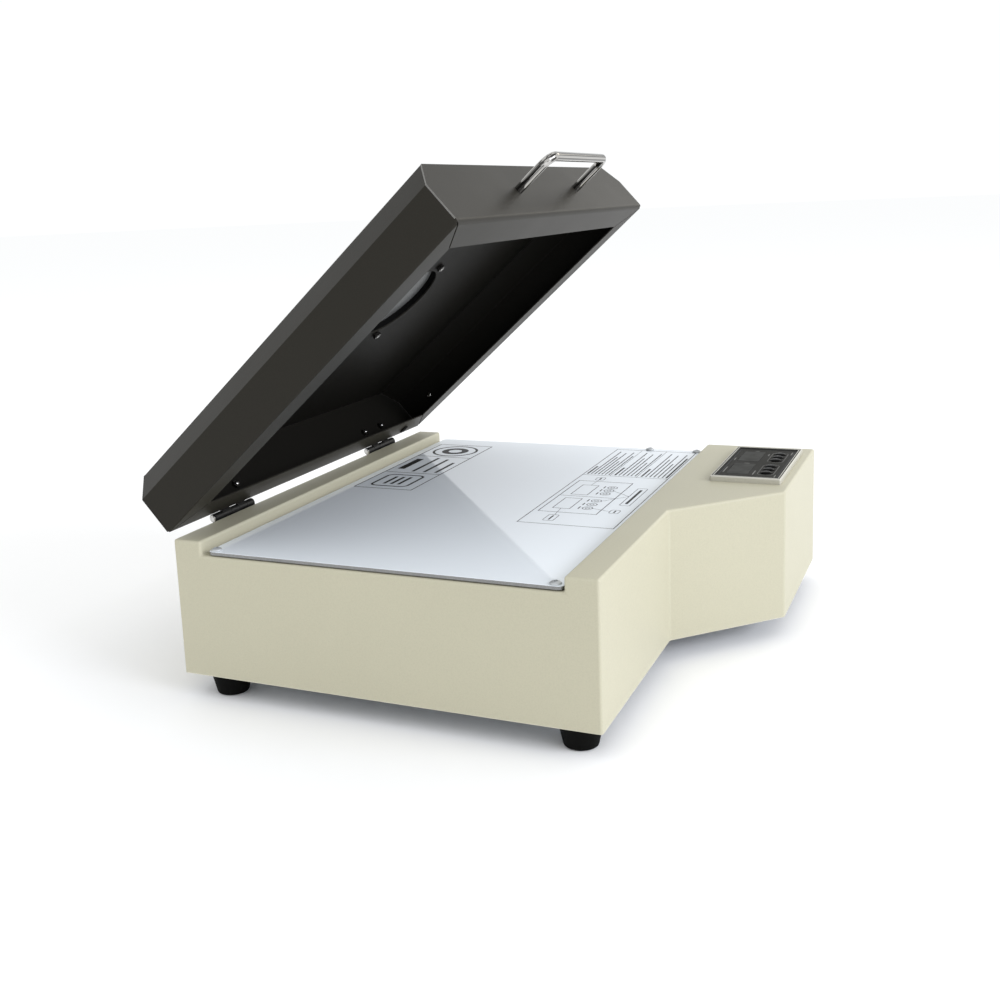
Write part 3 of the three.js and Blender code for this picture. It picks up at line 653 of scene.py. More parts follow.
def thickened(bm, thickness):
    """Gives an open skin a wall towards its inside."""
    target = scratch_object(bm)
    wall = target.modifiers.new("wall", "SOLIDIFY")
    wall.thickness = thickness
    wall.offset = -1
    wall.use_even_offset = True
    return evaluated(target)


def bent_sheet(outline, thickness, radius, ends, inward, steps=5):
    """Folded sheet metal: a path in a plane gets a wall on its inward side (+1 left, -1 right).
    Its bends are round. ends(point) gives the two places along the third axis, and points come back as
    (u, v, w)."""
    offset = []
    for i, point in enumerate(outline):
        here = Vector(point)
        normals = []
        for a, b in ((i - 1, i), (i, i + 1)):
            if a >= 0 and b < len(outline):
                step = (Vector(outline[b]) - Vector(outline[a])).normalized()
                normals.append(Vector((-step.y, step.x)) * inward)
        bisector = sum(normals, Vector((0, 0))).normalized()
        offset.append(here + bisector * (thickness / 2 / bisector.dot(normals[0])))
    radii = []
    for i, point in enumerate(offset):
        bent = 0 < i < len(offset) - 1 and (point - offset[i - 1]).angle(offset[i + 1] - point) > 0.01
        radii.append(radius - thickness / 2 if bent else 0.0)
    middle = fillet(offset, radii, steps)
    bm = bmesh.new()
    rows = []
    for i, point in enumerate(middle):
        step = (middle[min(i + 1, len(middle) - 1)] - middle[max(i - 1, 0)]).normalized()
        normal = Vector((-step.y, step.x)) * inward * thickness / 2
        start, end = ends(point)
        outer, inner = point - normal, point + normal
        corners = [(outer, start), (inner, start), (inner, end), (outer, end)]
        rows.append([bm.verts.new((p.x, p.y, w)) for p, w in corners])
    for low, high in zip(rows, rows[1:]):
        for n in range(4):
            m = (n + 1) % 4
            bm.faces.new((low[n], low[m], high[m], high[n]))
    bm.faces.new(list(reversed(rows[0])))
    bm.faces.new(rows[-1])
    return bm


def piece(name, bm, space, body, slot, *materials, replaces=(), material_of=None):
    """Turns a mesh in a frame's millimetres into a piece in metres that rides on a body."""
    bm.transform(TO_METRES @ space)
    bmesh.ops.recalc_face_normals(bm, faces=bm.faces)
    mesh = bpy.data.meshes.new(name)
    if material_of:
        for face in bm.faces:
            face.material_index = material_of(face)
    bm.to_mesh(mesh)
    bm.free()
    for material in materials:
        mesh.materials.append(material)
    mesh.shade_smooth()
    mesh.set_sharp_from_angle(angle=math.radians(SHARP_ANGLE))
    made = bpy.data.objects.new(name, mesh)
    bpy.context.scene.collection.objects.link(made)
    weighted = made.modifiers.new("even_normals", "WEIGHTED_NORMAL")
    weighted.keep_sharp = True
    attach(made, body)
    if replaces:
        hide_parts(*replaces)


def fitting(name, bm, space, body, *replaced, look=None):
    """A metal piece, in the stainless look unless another look is given."""
    piece(name, bm, space, body, "stainless", look or STEEL, replaces=replaced)


def screw_blank(radius, height, shank):
    """A domed screw head on z = 0 with a shank below it."""
    rings = [(SHANK_R, -shank), (SHANK_R, 0.0)] if shank else []
    base, steps, share = 0.55, 7, 0.86
    rings += [(radius - 0.2, 0.0), (radius, 0.2), (radius, base)]
    last = math.pi / 2 * share
    for n in range(1, steps + 1):
        angle = math.pi / 2 * n / steps * share
        rise = math.sin(angle) / math.sin(last)
        rings.append((radius * math.cos(angle), base + (height - base) * rise))
    return lathe(rings, 36), height * (1 - DRIVE_DEPTH)


def hex_screw(radius, height, shank=0.0):
    head, floor = screw_blank(radius, height, shank)
    return carve(head, prism(circle(radius * 0.46, sides=6), floor, height + 1))


def cross_screw(radius, height, facing, shank=0.0):
    """A screw with a cross recess, turned to face its way."""
    head, floor = screw_blank(radius, height, shank)
    arm, half = radius * 0.58, radius * 0.1
    tools = [block((-x, -y, floor), (x, y, height + 1)) for x, y in ((arm, half), (half, arm))]
    return moved(carve(head, *tools), facing)


def hex_nut(across, height):
    """A hexagon nut on z = 0 with rounded edges."""
    outer = circle(across / 2 / math.cos(math.pi / 6), sides=6)
    return carve(soften(prism(outer, 0, height), 0.35), bore(NUT_HOLE_R, -1, height + 1))


def screw_end(height):
    """The domed end of a screw that stands through a nut."""
    profile = [(SHANK_R, 0), (SHANK_R, height - 0.5), (SHANK_R - 0.5, height - 0.1), (SHANK_R - 1.3, height)]
    return lathe(profile, 24)


# Base

def housing_skin():
    """The outside of the folded base as flat faces, open below."""
    w, d, r = BODY_W / 2, BODY_D / 2, RECESS_D / 2
    box = d + BOX_DEPTH
    plan = [(-w, -d), (BOX_START, -d), (BOX_FRONT, -box), (w, -box), (w, d), (-w, d)]
    bm = bmesh.new()
    foot = [bm.verts.new((x, y, 0)) for x, y in plan]
    a, b, c, e, f, g = [bm.verts.new((x, y, BODY_H)) for x, y in plan]
    notch = {(sx, sy, level): bm.verts.new((sx * w, sy * r, BODY_H if level else LIP_Z))
             for sx in (-1, 1) for sy in (-1, 1) for level in (0, 1)}
    left = [notch[-1, -1, 1], notch[-1, -1, 0], notch[-1, 1, 0], notch[-1, 1, 1]]
    right = [notch[1, 1, 1], notch[1, 1, 0], notch[1, -1, 0], notch[1, -1, 1]]
    faces = [
        (foot[0], foot[1], b, a), (foot[1], foot[2], c, b), (foot[2], foot[3], e, c),
        (foot[3], foot[4], f, *right, e), (foot[4], foot[5], g, f), (foot[5], foot[0], a, *left, g),
        (left[3], right[0], f, g), (a, b, c, e, right[3], left[0]),
        (left[2], right[1], right[0], left[3]), (left[0], right[3], right[2], left[1]),
        (left[1], right[2], right[1], left[2]),
    ]
    for corners in faces:
        bm.faces.new(corners)
    bmesh.ops.recalc_face_normals(bm, faces=bm.faces)
    folds = [edge for edge in bm.edges if len(edge.link_faces) == 2]
    round_off(bm, folds, BEND, 4)
    return bm


def make_housing():
    wall = thickened(housing_skin(), SHEET)
    window = rounded_rect(BODY_W - 2 * LIP_SIDE, RECESS_D - 2 * LIP_RAIL, 4)
    tools = [prism(window, LIP_Z - CUT, LIP_Z + CUT),
             prism(rounded_rect(*FACE, 1, PANEL_X, PANEL_Y), BODY_H - CUT, BODY_H + CUT)]
    for x, half in ((INLET_X, INLET_HALF), (SWITCH_X, SWITCH_HALF)):
        w, h = half[0] + WALL_CUT_GAP, half[1] + WALL_CUT_GAP
        tools.append(block((x - w, REAR_WALL - CUT, POWER_Z - h), (x + w, REAR_WALL + CUT, POWER_Z + h)))
    piece("housing_body", carve(wall, *tools), BASE, "base", "beige_paint", BEIGE, replaces=["base_housing"])


def make_platen():
    ring = rounded_rect(PLATEN_W, PLATEN_D, PLATEN_CORNER, 0, PLATEN_Y, steps=8)
    plate = slab(ring, PLATEN_Z, PLATEN_TOP, PLATEN_EDGE)
    top = (PLATEN_TOP + BASE_Z) * MM
    piece("platen_plate", plate, BASE, "base", "platen_face", EDGE_METAL, ENAMEL, replaces=["platen"],
          material_of=lambda face: int(face.calc_center_median().z > top - 0.0002))
    for index in range(1, PLATEN_SCREWS + 1):
        low, high = node_box(f"platen_screw_{index}")
        middle = (low + high) / 2
        head = hex_screw((high.x - low.x) / 2, PLATEN_SCREW_H, high.z - low.z - PLATEN_SCREW_H - 0.2)
        place = shift(middle.x, middle.y, high.z - PLATEN_SCREW_H - 0.02)
        fitting(f"platen_bolt_{index}", head, place, "base", f"platen_screw_{index}", look=PLATED)


def make_feet():
    for end in ("rear", "front"):
        for side in ("left", "right"):
            low, high = node_box(f"foot_{end}_{side}")
            middle, height = (low + high) / 2, high.z - low.z
            rise = [(3.2, 6.5), (4.2, 6), (4.6, 0.8), (5.2, 0), (12.6, 0), (13.3, 0.4), (13.7, 1.3)]
            rise += [(17.4, height - 2.2), (17.9, height - 1.2), (17.6, height - 0.3), (16.8, height)]
            spot = shift(middle.x, middle.y, low.z)
            piece(f"foot_pad_{end}_{side}", lathe(rise, 56), spot, "base", "foot_rubber", RUBBER,
                  replaces=[f"foot_{end}_{side}"])
            fitting(f"foot_bolt_{end}_{side}", cross_screw(3.6, 2.2, FACING_DOWN), spot @ shift(0, 0, 6.2),
                    "base")


# Controller

def bezel_ring(outer, inner, low, high):
    """A rectangular frame with a rounded outer edge, a groove in its top and a sloped inner edge."""
    corner, edge, steps = 1.5, 1.0, 5
    levels = [(0.0, low)]
    for n in range(steps + 1):
        angle = math.pi / 2 * n / steps
        levels.append((edge * (1 - math.cos(angle)), high - edge * (1 - math.sin(angle))))
    rings = [at_height(rounded_rect(outer[0] - 2 * i, outer[1] - 2 * i, max(corner - i, 0.4)), z)
             for i, z in levels]
    rings += [at_height(rounded_rect(inner[0] + 2 * grow, inner[1] + 2 * grow, 0.5), z)
              for grow, z in ((2.9, high), (2.7, high - 0.5), (2.1, high - 0.5), (1.9, high),
                              (1.1, high), (0.7, high - 0.35), (0.0, high - 1.1), (0.0, low))]
    return loft(rings, loop=True)


def in_groove(face):
    """1 for the faces below the bezel's top and inside its outer edge: the groove and the inner edge, which
    take the dark panel colour as painted shade.
    """
    middle = face.calc_center_median() / MM - PANEL_SPACE @ Vector((0, 0, BODY_H))
    inside = abs(middle.x) < BEZEL[0] / 2 - 1.2 and abs(middle.y) < BEZEL[1] / 2 - 1.2
    return int(inside and 0.5 < middle.z < BEZEL_H - 0.15)


def arrow(size, up):
    sign = 1 if up else -1
    points = [(-size, -sign * size * 0.6), (size, -sign * size * 0.6), (0, sign * size)]
    return fillet(points if up else points[::-1], 0.15, 2, closed=True)


def make_controller():
    bezel = bezel_ring(BEZEL, (FACE[0] - 2, FACE[1] - 2), BODY_H + 0.05, BODY_H + BEZEL_H)
    # The silver bezel's groove and inner edge get the dark panel material: painted shade.
    piece("bezel_frame", bezel, PANEL_SPACE, "base", "bezel_silver", SILVER, PANEL,
          replaces=["controller_bezel"], material_of=in_groove)

    tools = []
    for x in (-GROUP_X, GROUP_X):
        holes = [circle(KEY_HOLE_R, x + step * KEY_PITCH, KEY_Y) for step in (-1, 0, 1)]
        for hole in (rounded_rect(*DISPLAY, 0.6, x, DISPLAY_Y), *holes):
            tools.append(prism(hole, FACE_TOP - CUT, FACE_TOP + CUT))
    face = slab(rounded_rect(*PANEL_PLATE, 0.8), FACE_TOP - 2, FACE_TOP, 0.2)
    piece("panel_face", carve(face, *tools), PANEL_SPACE, "base", "panel_grey", PANEL,
          replaces=["controller_face"])

    for group, x in (("time", -GROUP_X), ("temperature", GROUP_X)):
        pane = rounded_rect(DISPLAY[0] - 0.6, DISPLAY[1] - 0.6, 0.5, x, DISPLAY_Y)
        piece(f"{group}_display_glass", slab(pane, FACE_TOP - 1.2, FACE_TOP + 0.2, 0.35), PANEL_SPACE, "base",
              "display_window", WINDOW, replaces=[f"{group}_display"])
        for action in ("set", "down", "up"):
            make_key(f"{group}_{action}_key", action)


def make_key(node, action):
    """A domed key with its printed mark."""
    low, high = node_box(node)
    spot = shift((low.x + high.x) / 2, (low.y + high.y) / 2, low.z)
    height, shoulder, steps = high.z - low.z, 1.3, 10
    profile = [(KEY_R - 0.2, 0), (KEY_R, 0.2), (KEY_R, shoulder)]
    for n in range(1, steps + 1):
        angle = math.pi / 2 * n / steps
        profile.append((KEY_R * math.cos(angle) ** 0.8, shoulder + (height - shoulder) * math.sin(angle)))
    piece(f"{node}_cap", lathe(profile), spot, node, "key_black", KEY_BLACK, replaces=[node])
    bottom = height - 0.16
    top = bottom + 0.12
    if action == "set":
        mark = hoop(circle(1.5, sides=32), circle(1.0, sides=32), bottom, top)
    else:
        mark = prism(arrow(1.5, action == "up"), bottom, top)
    piece(f"{node}_mark", mark, spot, node, "key_black", WHITE_INK)


def controller_marks():
    """Plain outlines and bars in place of the panel's printing, about the panel's middle."""
    bm = bmesh.new()
    low, high = FACE_TOP + 0.01, FACE_TOP + 0.05
    for x in (-GROUP_X, GROUP_X):
        hoop(rounded_rect(42, 15.2, 5, x, KEY_Y), rounded_rect(41.3, 14.5, 4.65, x, KEY_Y), low, high, bm)
    for x0, x1, y in MARKS_ALONG_X:
        block((x0, y - MARK / 2, low), (x1, y + MARK / 2, high), bm=bm)
    for x, y0, y1 in MARKS_ALONG_Y:
        block((x - MARK / 2, y0, low), (x + MARK / 2, y1, high), bm=bm)
    piece("panel_marks", bm, PANEL_SPACE, "base", "panel_grey", PALE_INK)
    w, d = PANEL_PLATE
    border = hoop(rounded_rect(w - 0.4, d - 0.4, 0.6), rounded_rect(w - 3, d - 3, 0.4), low, high)
    piece("panel_border", border, PANEL_SPACE, "base", "panel_grey", INK)


# Printing on the platen: generic outlines and plain bars

SPREAD = 1.25
LEADER = 0.35
FINE = 0.6
BOLD = 0.9
HEADING = 1.5
LABEL_BAR = 2.6
LABEL_X = (-2, 204)
LABEL_Y = (79.5, 142.5)
LABEL_SPLITS = (65, 143)
SHEET_X = (-80, 222)
SHEET_Y = (-148.5, -62)
NOTES_EDGE = 101
NOTES_X = (106, 218)
NOTES = [(-62, -90, 6), (-90, -117, 5), (-117, -148.5, 6)]
NOTES_SHARES = (0.95, 0.7, 0.88, 0.55, 0.92, 0.8)
DIAGRAM_TAGS = [(-70, -91, -50, -81, 4, -86, 1.2), (-6, -141, 59, -131, 8, -136, 2.0),
                (-34, -138.5, -22, -129.5, 3, -134, 1.2), (81, -89.5, 93, -80.5, 3, -85, 1.2)]
LEADERS = [(-50, -86, -28, -84), (-28, -129.5, -22, -112), (27, -131, 4.3, -112), (27, -131, 43, -112),
           (81, -85, 60, -84)]


class Print:
    """Collects thin printed shapes on a plane."""

    def __init__(self, z):
        self.bm = bmesh.new()
        self.low, self.high = z + 0.01, z + 0.05

    def bar(self, x0, y0, x1, y1, width=0.5):
        a, b = Vector((x0, y0)), Vector((x1, y1))
        along = (b - a).normalized() * (width * SPREAD / 2)
        side = Vector((-along.y, along.x))
        ring = [a - along - side, b + along - side, b + along + side, a - along + side]
        prism(ring, self.low, self.high, self.bm)

    def path(self, points, width=0.5, closed=False):
        ends = points[1:] + points[:1] if closed else points[1:]
        for (x0, y0), (x1, y1) in zip(points, ends):
            self.bar(x0, y0, x1, y1, width)

    def frame(self, x0, y0, x1, y1, width=0.5):
        self.path([(x0, y0), (x1, y0), (x1, y1), (x0, y1)], width, closed=True)

    def band(self, outer, inner):
        hoop(outer, inner, self.low, self.high, self.bm)

    def tag(self, x0, y0, x1, y1, radius=2.5, width=0.45):
        w, d, x, y = abs(x1 - x0), abs(y1 - y0), (x0 + x1) / 2, (y0 + y1) / 2
        width *= SPREAD
        inner = rounded_rect(w - 2 * width, d - 2 * width, max(0.3, radius - width), x, y)
        self.band(rounded_rect(w, d, radius, x, y), inner)

    def ring(self, x, y, radius, width=0.5, sides=48):
        self.band(circle(radius, x, y, sides), circle(radius - width * SPREAD, x, y, sides))

    def lines(self, x0, x1, rows, weight=0.95):
        """Rows of dashes in place of words; each row is (y, share of the width)."""
        for row, (y, share) in enumerate(rows):
            end, x, n = x0 + (x1 - x0) * share, x0, row
            while x < end - 2:
                length = min(3.5 + 2.3 * ((n * 7) % 4), end - x)
                self.bar(x, y, x + length, y, weight)
                x += length + 1.9
                n += 1


def print_label(layer):
    """Three boxes at the rear: a tag, a heading with lines, and a double ring."""
    (x0, x1), (y0, y1) = LABEL_X, LABEL_Y
    layer.frame(x0, y0, x1, y1, BOLD)
    for x in LABEL_SPLITS:
        layer.bar(x, y0, x, y1, BOLD)
    layer.tag(7, 90, 56, 132, 8, 2.0)
    for y in (103, 111, 119):
        layer.bar(18, y, 45, y, LABEL_BAR)
    layer.bar(84, 132, 124, 132, 6.2)
    for y, share in ((114, 1.0), (101, 0.92), (88, 0.7)):
        layer.bar(73, y, 73 + 62 * share, y, LABEL_BAR)
    layer.ring(173, 111, 25.5, 2.2, 64)
    layer.ring(173, 111, 15, 6, 48)


def print_notes(layer):
    """Three blocks of dashed rows at the right."""
    left, right, lowest = NOTES_X[0], NOTES_X[1], SHEET_Y[0]
    for top, bottom, count in NOTES:
        pitch = (top - bottom) / (count + 1.6)
        layer.bar(left, top - pitch, left + 32, top - pitch, HEADING)
        rows = [(top - pitch * (n + 2), NOTES_SHARES[n]) for n in range(count)]
        layer.lines(left, right, rows[:-1])
        layer.lines(left, right, rows[-1:], HEADING if bottom == lowest else 0.95)
        if bottom != lowest:
            layer.bar(NOTES_EDGE, bottom, SHEET_X[1], bottom, LEADER)


def print_diagram(layer):
    """A plan of the controller, with tags and lines that lead to them."""
    layer.frame(-41, -121, 76, -67, FINE)
    layer.bar(17, -121, 17, -67)
    for left in (-28, 23):
        layer.frame(left, -92, left + 37, -76, 0.55)
    for x in (-22, -9, 4.3, 31, 43, 55):
        layer.ring(x, -107, 5, FINE, 36)
        layer.ring(x, -107, 2.2, sides=24)
        layer.bar(x - 3.2, -99.2, x + 3.2, -99.2, BOLD)
    for x0, y0, x1, y1, margin, y, weight in DIAGRAM_TAGS:
        layer.tag(x0, y0, x1, y1)
        layer.bar(x0 + margin, y, x1 - margin, y, weight)
    for line in LEADERS:
        layer.bar(*line, LEADER)


def make_printing():
    layer = Print(PLATEN_TOP)
    print_label(layer)
    layer.frame(SHEET_X[0], SHEET_Y[0], SHEET_X[1], SHEET_Y[1], FINE)
    layer.bar(NOTES_EDGE, SHEET_Y[0], NOTES_EDGE, SHEET_Y[1])
    print_notes(layer)
    print_diagram(layer)
    piece("platen_printing", layer.bm, BASE, "base", "platen_face", INK)


# Hinges

def hinge_leaf(first, direction):
    """One half of a butt hinge on its axis: knuckles, their webs and the leaf."""
    round_end, edge = 3.5, KNUCKLE_R - 0.4
    corner = [round_end, round_end, 0, 0] if direction > 0 else [0, 0, round_end, round_end]
    z0, z1 = sorted((edge * direction, LEAF_H * direction))
    half = HINGE_W / 2
    plan = fillet([(half, z1), (-half, z1), (-half, z0), (half, z0)], corner, 5, closed=True)
    front = LEAF_BACK + LEAF_T
    levels = [(0.15, LEAF_BACK), (0.0, LEAF_BACK + 0.15), (0.0, front - 0.35), (0.35, front)]
    middle_z = (z0 + z1) / 2
    rings = []
    for inset, y in levels:
        sx, sz = 1 - inset / half, 1 - 2 * inset / (z1 - z0)
        rings.append([Vector((p.x * sx, y, middle_z + (p.y - middle_z) * sz)) for p in plan])
    leaf = loft(rings)
    pitch = HINGE_W / KNUCKLES
    parts = []
    for n in range(first, KNUCKLES, 2):
        start, end = -half + n * pitch + 0.12, -half + (n + 1) * pitch - 0.12
        narrow = KNUCKLE_R - 0.3
        barrel = [(narrow, start), (KNUCKLE_R, start + 0.3), (KNUCKLE_R, end - 0.3), (narrow, end)]
        parts.append(moved(lathe(barrel, 36), turn(90, "Y")))
        web_z = sorted((0, (edge + 1) * direction))
        parts.append(block((start, -KNUCKLE_R + 0.05, web_z[0]), (end, front, web_z[1])))
    body = carve(leaf, *parts, operation="UNION")
    holes = [shift(x, 0, HINGE_SCREW_Z * direction) @ turn(90, "X") for x in (-HINGE_SCREW_X, HINGE_SCREW_X)]
    return carve(body, *[moved(bore(HINGE_HOLE_R, -8, 8), hole) for hole in holes])


def hinge_pin():
    """A pin along X with a rounded rim on each end."""
    half = HINGE_W / 2
    rim = [(0.3, half + 1.4), (1.6, half + 1.3), (2.7, half + 0.95), (3.1, half + 0.5), (3.1, half + 0.2),
           (2.0, half + 0.2)]
    profile = [(r, -z) for r, z in rim] + rim[::-1]
    return moved(lathe(profile, 36), turn(90, "Y"))


def make_hinges():
    for side, sx in (("left", -1), ("right", 1)):
        x = sx * HINGE_X
        base_axis, lid_axis = shift(x, HINGE.y, HINGE.z), LID @ shift(x, 0, 0)
        piece(f"{side}_hinge_base_plate", hinge_leaf(0, -1), base_axis, "base", "hinge_black", HINGE_BLACK,
              replaces=[f"{side}_hinge_base_leaf"])
        piece(f"{side}_hinge_lid_plate", hinge_leaf(1, 1), lid_axis, "lid", "hinge_black", HINGE_BLACK,
              replaces=[f"{side}_hinge_lid_leaf"])
        reach = (HINGE_W / 2 + 0.1) * MM
        piece(f"{side}_hinge_pin_rod", hinge_pin(), base_axis, "base", "stainless", STEEL, HINGE_BLACK,
              replaces=[f"{side}_hinge_pin"],
              material_of=lambda face: int(abs(face.calc_center_median().x - x * MM) < reach))
        seat = LEAF_BACK + LEAF_T + 0.35
        for end, across in (("outer", sx * HINGE_SCREW_X), ("inner", -sx * HINGE_SCREW_X)):
            outside = lid_axis @ shift(across, seat, HINGE_SCREW_Z)
            inside = lid_axis @ shift(across, LID_REAR - LID_SHEET - 0.02, HINGE_SCREW_Z) @ turn(90, "X")
            below = base_axis @ shift(across, seat, -HINGE_SCREW_Z)
            fitting(f"{side}_hinge_bolt_{end}", cross_screw(3.8, 2.3, FACING_REAR, 6), outside, "lid",
                    f"{side}_hinge_screw_{end}")
            fitting(f"{side}_hinge_nut_{end}", hex_nut(6.6, 2.6), inside, "lid", look=DARK_STEEL)
            fitting(f"{side}_hinge_bolt_tip_{end}", screw_end(4.4), inside, "lid")
            fitting(f"{side}_hinge_base_bolt_{end}", cross_screw(3.8, 2.3, FACING_REAR, 3), below, "base")


# Lid

def in_lid(face):
    """1 for the faces that look into the lid's hollow, which take the darker inside coat as painted shade."""
    just_off = (TO_LID @ (face.calc_center_median() + face.normal * 0.9 * MM)) / MM
    if not LID_UNDER + LID_SHEET < just_off.z < LID_TOP - LID_SHEET:
        return 0
    rise = max(0.0, (just_off.z - LID_KNEE) / (LID_TOP - LID_KNEE))
    side = LID_W / 2 - LID_CHAMFER * rise - LID_SHEET
    return int(abs(just_off.x) < side and LID_FRONT + LID_SHEET < just_off.y < LID_REAR - LID_SHEET)


def make_lid_shell():
    half, inner = LID_W / 2, LID_W / 2 - LID_FLANGE
    front, rear = LID_FRONT + LID_SHEET + SEAM, LID_REAR - LID_SHEET - SEAM
    shoulder = half - LID_CHAMFER
    section = [(-inner, LID_UNDER), (-half, LID_UNDER), (-half, LID_KNEE), (-shoulder, LID_TOP),
               (shoulder, LID_TOP), (half, LID_KNEE), (half, LID_UNDER), (inner, LID_UNDER)]

    def ends(point):
        mitre = max(0.0, half - 0.5 - abs(point.x)) + MITRE_GAP if point.y < LID_UNDER + LID_SHEET else 0.0
        return front + mitre, rear - mitre

    sheet = bent_sheet(section, LID_SHEET, LID_BEND, ends, -1)
    moved(sheet, Matrix(((1, 0, 0, 0), (0, 0, 1, 0), (0, 1, 0, 0), (0, 0, 0, 1))))
    tools = [moved(bore(FAN_HOLE_R, LID_TOP - CUT, LID_TOP + CUT, 72), shift(0, FAN_Y, 0))]
    for x, y in FAN_SCREWS:
        tools.append(moved(bore(FAN_SCREW_HOLE_R, LID_TOP - CUT, LID_TOP + CUT), shift(x, FAN_Y + y, 0)))
    # Faces inside the hollow get the darker coat: painted shade.
    piece("lid_hood", carve(sheet, *tools), LID, "lid", "charcoal_paint", CHARCOAL, CHARCOAL_SHADED_INSIDE,
          replaces=["lid_shell"], material_of=in_lid)


def lid_end(face, inward, bend):
    """An end of the lid: a plate with the hood's outline and a mitred flange along its lower edge."""
    half = LID_W / 2
    outline = [(face + inward * LID_FLANGE, LID_UNDER), (face, LID_UNDER), (face, LID_KNEE), (face, LID_TOP)]

    def ends(point):
        depth = abs(point.x - face)
        if point.y < LID_UNDER + bend and depth > bend * 0.3:
            width = half - max(depth, LID_SHEET) - SEAM
        else:
            rise = max(0.0, (point.y - LID_KNEE) / (LID_TOP - LID_KNEE))
            width = half - LID_CHAMFER * rise
        return -width, width

    sheet = bent_sheet(outline, LID_SHEET, bend, ends, -inward, steps=8)
    return moved(sheet, Matrix(((0, 0, 1, 0), (1, 0, 0, 0), (0, 1, 0, 0), (0, 0, 0, 1))))


def on_rim(face):
    """2 for the cut edge of a lid end's plate, above its folded flange, which takes the pale rim coat as worn
    edge and painted highlight, and 1 for its inner face, which takes the darker inside coat as painted shade.
    """
    turned = TO_LID.to_3x3() @ face.normal
    if abs(turned.y) < 0.8 and (TO_LID @ face.calc_center_median()).z > (LID_UNDER + CAP_BEND) * MM:
        return 2
    return in_lid(face)


def make_lid_ends():
    front = soften(lid_end(LID_FRONT, 1, CAP_BEND), 0.3)
    piece("lid_front_plate", front, LID, "lid", "charcoal_paint", CHARCOAL, CHARCOAL_SHADED_INSIDE, CHARCOAL_RIM_WORN_AND_LIT,
          replaces=["lid_front_cap"], material_of=on_rim)
    tools = []
    for hinge in (-HINGE_X, HINGE_X):
        for x in (hinge - HINGE_SCREW_X, hinge + HINGE_SCREW_X):
            hole = shift(x, LID_REAR, HINGE_SCREW_Z) @ turn(90, "X")
            tools.append(moved(bore(HINGE_HOLE_R, -8, 8), hole))
    low, high = node_box("cable_grommet")
    middle = LID.inverted() @ ((low + high) / 2)
    spot = shift(middle.x, middle.y, LID_UNDER)
    tools.append(moved(bore(4.2, -6, 6, 32), spot))
    rear = carve(soften(lid_end(LID_REAR, -1, REAR_BEND), 0.3), *tools)
    piece("lid_rear_plate", rear, LID, "lid", "charcoal_paint", CHARCOAL, CHARCOAL_SHADED_INSIDE,
          replaces=["lid_rear_panel"], material_of=in_lid)
    corners = [(2.4, -1.2), (5.4, -1.2), (5.4, -0.1), (3.9, -0.1), (3.9, 1.3), (5.4, 1.3), (5.4, 2.4),
               (2.4, 2.4)]
    ring = fillet(corners, [0.5, 0.5, 0.3, 0.1, 0.1, 0.3, 0.5, 0.5], 3, closed=True)
    piece("grommet_ring", lathe([(p.x, p.y) for p in ring], 40, loop=True), LID @ spot, "lid", "foot_rubber",
          RUBBER, replaces=["cable_grommet"])


def make_lid_fixings():
    """Screws inside the side walls, and the handle's screws inside the cap."""
    for side, sx in (("left", -1), ("right", 1)):
        wall = sx * (LID_W / 2 - LID_SHEET)
        for end, y in (("rear", LID_REAR - 38.8), ("front", LID_FRONT + 38.8)):
            fitting(f"lid_wall_screw_{side}_{end}", cross_screw(2.9, 2.0, turn(-90 * sx, "Y")),
                    LID @ shift(wall, y, LID_UNDER + 16.5), "lid")
        inside_cap = LID @ shift(sx * HANDLE_PITCH / 2, LID_FRONT + LID_SHEET, HANDLE_Z)
        fitting(f"handle_screw_{side}", cross_screw(4.2, 2.4, FACING_REAR), inside_cap, "lid")


def make_handle():
    half, out = HANDLE_PITCH / 2, LID_FRONT - HANDLE_REACH
    corners = [(-half, LID_FRONT - SEAM, HANDLE_Z), (-half, out, HANDLE_Z), (half, out, HANDLE_Z),
               (half, LID_FRONT - SEAM, HANDLE_Z)]
    path = fillet(corners, [0, HANDLE_BEND, HANDLE_BEND, 0], 12)
    spans = []
    for a, b in zip(path, path[1:]):
        count = max(1, round((b - a).length / 12))
        spans += [a.lerp(b, n / count) for n in range(count)]
    bar = tube_along(spans + [path[-1]], HANDLE_R, 28)
    fitting("handle_bar", soften(bar, 0.4, angle=60), LID, "lid", "handle", look=POLISHED)


# Fan

def fan_housing():
    """A flange and a bore with eight ribs, and a hub on three arms."""
    wall = FAN_BORE_R + 2.2
    corners = [(FAN_BORE_R, 0), (FAN_FLANGE_R, 0), (FAN_FLANGE_R, FAN_FLANGE_T), (wall, FAN_FLANGE_T),
               (wall, FAN_H), (FAN_BORE_R, FAN_H)]
    outline = fillet(corners, [0.4, 0.4, 0.9, 1.8, 0.8, 0.4], 4, closed=True)
    body = lathe([(p.x, p.y) for p in outline], 80, loop=True)
    top = FAN_H - 0.5
    hub = lathe([(18.2, top - 3.5), (19, top - 2.9), (19, top - 0.8), (18.2, top)])
    parts = [hub]
    for n in range(3):
        arm = block((16, -3, top - 3.5), (FAN_BORE_R + 1, 3, top), 0.6)
        parts.append(moved(arm, turn(120 * n, "Z")))
    for n in range(8):
        rib = block((wall - 0.6, -1, FAN_FLANGE_T - 0.5), (FAN_FLANGE_R - 4, 1, 9))
        parts.append(moved(rib, turn(45 * n + 22.5, "Z")))
    body = carve(body, *parts, operation="UNION")
    return carve(body, *[moved(bore(FAN_SCREW_HOLE_R, -2, 8), shift(x, y, 0)) for x, y in FAN_SCREWS])


